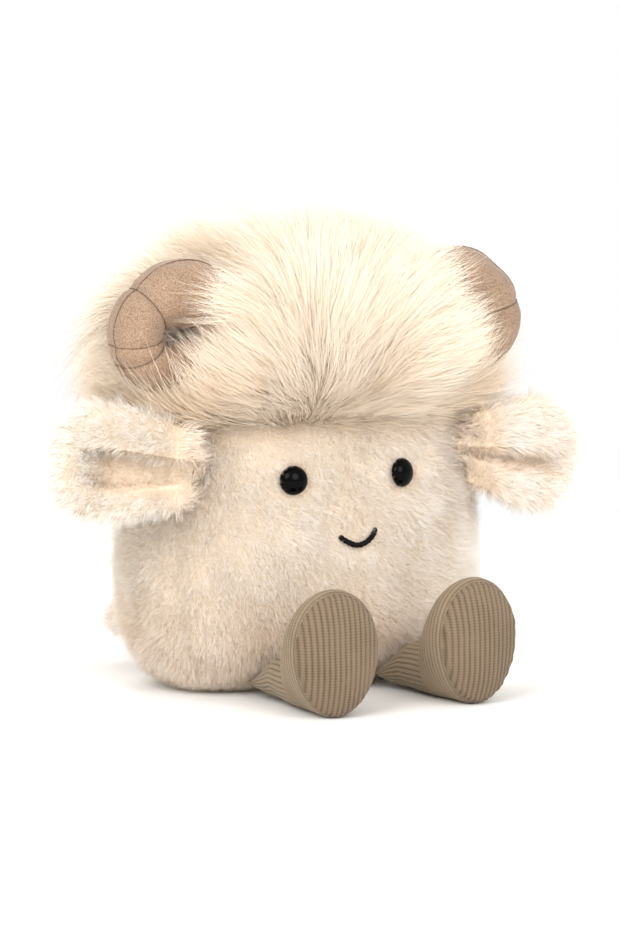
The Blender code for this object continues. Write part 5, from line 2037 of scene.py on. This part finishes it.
@dataclass
class Studio:
    """A plain pale floor, soft light and the camera at the photograph's viewing angle."""

    azimuth: float = math.radians(-27.9)
    elevation: float = math.radians(7.05)
    roll: float = math.radians(-0.47)
    distance: float = 1.49
    pixels_per_metre: float = 3200.0
    frame_height: int = 930
    right: float = 4.48 * MM
    up: float = 66.28 * MM
    floor_size: float = 12.0
    paper_radius: float = 0.13
    white_radius: float = 0.42
    room_light: float = 0.9

    def build(self) -> None:
        """Makes the floor, the lights, the world and the camera."""
        self.camera()
        self.floor()
        self.lights()
        self.world()
        bpy.context.scene.view_settings.view_transform = "Standard"
        LOG.info("studio ready")

    def axes(self) -> tuple[Vector, Vector, Vector]:
        """The camera's right, up and backward directions."""
        sine, cosine = math.sin(self.azimuth), math.cos(self.azimuth)
        level, rise = math.cos(self.elevation), math.sin(self.elevation)
        back = Vector((sine * level, -cosine * level, rise))
        right = Vector((cosine, sine, 0.0))
        return right, back.cross(right), back

    def camera(self) -> None:
        """Places the camera, whose sensor width spans the picture's long side."""
        right, up, back = self.axes()
        target = right * self.right + up * self.up
        turned_right = right * math.cos(self.roll) + up * math.sin(self.roll)
        turned_up = up * math.cos(self.roll) - right * math.sin(self.roll)
        data = bpy.data.cameras.new("camera")
        data.sensor_width = 36.0
        data.lens = self.distance * self.pixels_per_metre / self.frame_height * data.sensor_width
        data.clip_end = 100.0
        made = bpy.data.objects.new("camera", data)
        matrix = Matrix((turned_right, turned_up, back)).transposed().to_4x4()
        matrix.translation = target + back * self.distance
        made.matrix_world = matrix
        bpy.context.scene.collection.objects.link(made)
        bpy.context.scene.camera = made

    def floor(self) -> None:
        """Lays the floor, which fades to the backdrop's white away from the toy."""
        half = self.floor_size / 2
        points = np.array([[-half, -half, 0.0], [half, -half, 0.0], [half, half, 0.0], [-half, half, 0.0]])
        floor = mesh_object("floor", points, [(0, 1, 2, 3)], smooth=False)
        values = {"Base Color": linear_colour("#f7f6f4"), "Roughness": 0.95, "Specular IOR Level": 0.0}
        surface = Surface("white_paper_floor", values)
        tree = surface.tree
        place = add_node(tree, "ShaderNodeTexCoord")
        reach = add_node(tree, "ShaderNodeVectorMath", {0: place.outputs["Object"]}, operation="LENGTH")
        fade = add_node(
            tree,
            "ShaderNodeMapRange",
            {0: reach.outputs["Value"], 1: self.paper_radius, 2: self.white_radius, 3: 0.0, 4: 1.0},
            interpolation_type="SMOOTHSTEP",
        )
        ray = add_node(tree, "ShaderNodeLightPath")
        seen = number(tree, "MULTIPLY", fade.outputs[0], ray.outputs["Is Camera Ray"])
        glow = add_node(tree, "ShaderNodeEmission", {0: (1.0, 1.0, 1.0, 1.0), 1: 1.0}).outputs[0]
        inputs = {0: seen, 1: surface.shader.outputs[0], 2: glow}
        mixed = add_node(tree, "ShaderNodeMixShader", inputs).outputs[0]
        tree.links.new(mixed, tree.nodes["Material Output"].inputs[0])
        dress(floor, surface.material)

    def lights(self) -> None:
        """Hangs a broad key in front to the left, a fill to the right and a weak light behind."""
        right, _, back = self.axes()
        target = Vector((0.0, 0.0, 0.07))
        for name, place, size, power in (
            ("key", back * 1.1 - right * 0.6 + Vector((0.0, 0.0, 0.7)), 0.9, 11.5),
            ("fill", back * 1.1 + right * 0.7 + Vector((0.0, 0.0, 0.5)), 0.9, 9.0),
            ("rear", Vector((0.0, 0.0, 0.9)) - back * 1.1, 1.2, 6.0),
        ):
            data = bpy.data.lights.new(name, "AREA")
            data.shape = "DISK"
            data.size = size
            data.energy = power
            lamp = bpy.data.objects.new(name, data)
            lamp.location = target + place
            lamp.rotation_euler = (-place).to_track_quat("-Z", "Y").to_euler()
            bpy.context.scene.collection.objects.link(lamp)

    def world(self) -> None:
        """Fills the room with soft light, and shows white behind the floor."""
        made = bpy.data.worlds.new("soft_room")
        bpy.context.scene.world = made
        made.use_nodes = True
        tree = made.node_tree
        background = tree.nodes["Background"]
        background.inputs["Color"].default_value = (1.0, 1.0, 1.0, 1.0)
        ray = add_node(tree, "ShaderNodeLightPath")
        bright = add_node(
            tree,
            "ShaderNodeMapRange",
            {0: ray.outputs["Is Camera Ray"], 1: 0.0, 2: 1.0, 3: self.room_light, 4: 1.0},
        )
        tree.links.new(bright.outputs[0], background.inputs["Strength"])


def main() -> None:
    """Builds every sub-assembly in order."""
    logging.basicConfig(level=logging.INFO, format="%(message)s")
    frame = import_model()
    shop = open_workshop()
    studio = Studio()
    studio.build()
    form = BodyForm()
    face = Face(form)
    face.build(shop)
    Body(form, face).build(shop)
    horn = HornForm()
    Mane(horn).build(shop)
    for side in Side:
        Horn(horn, side).build(shop)
        Ear(form, side).build(shop)
        Leg(form, side).build(shop)
    Tail(form).build(shop)
    Inside(frame["nodes"]).build(shop)


if __name__ == "__main__":
    main()
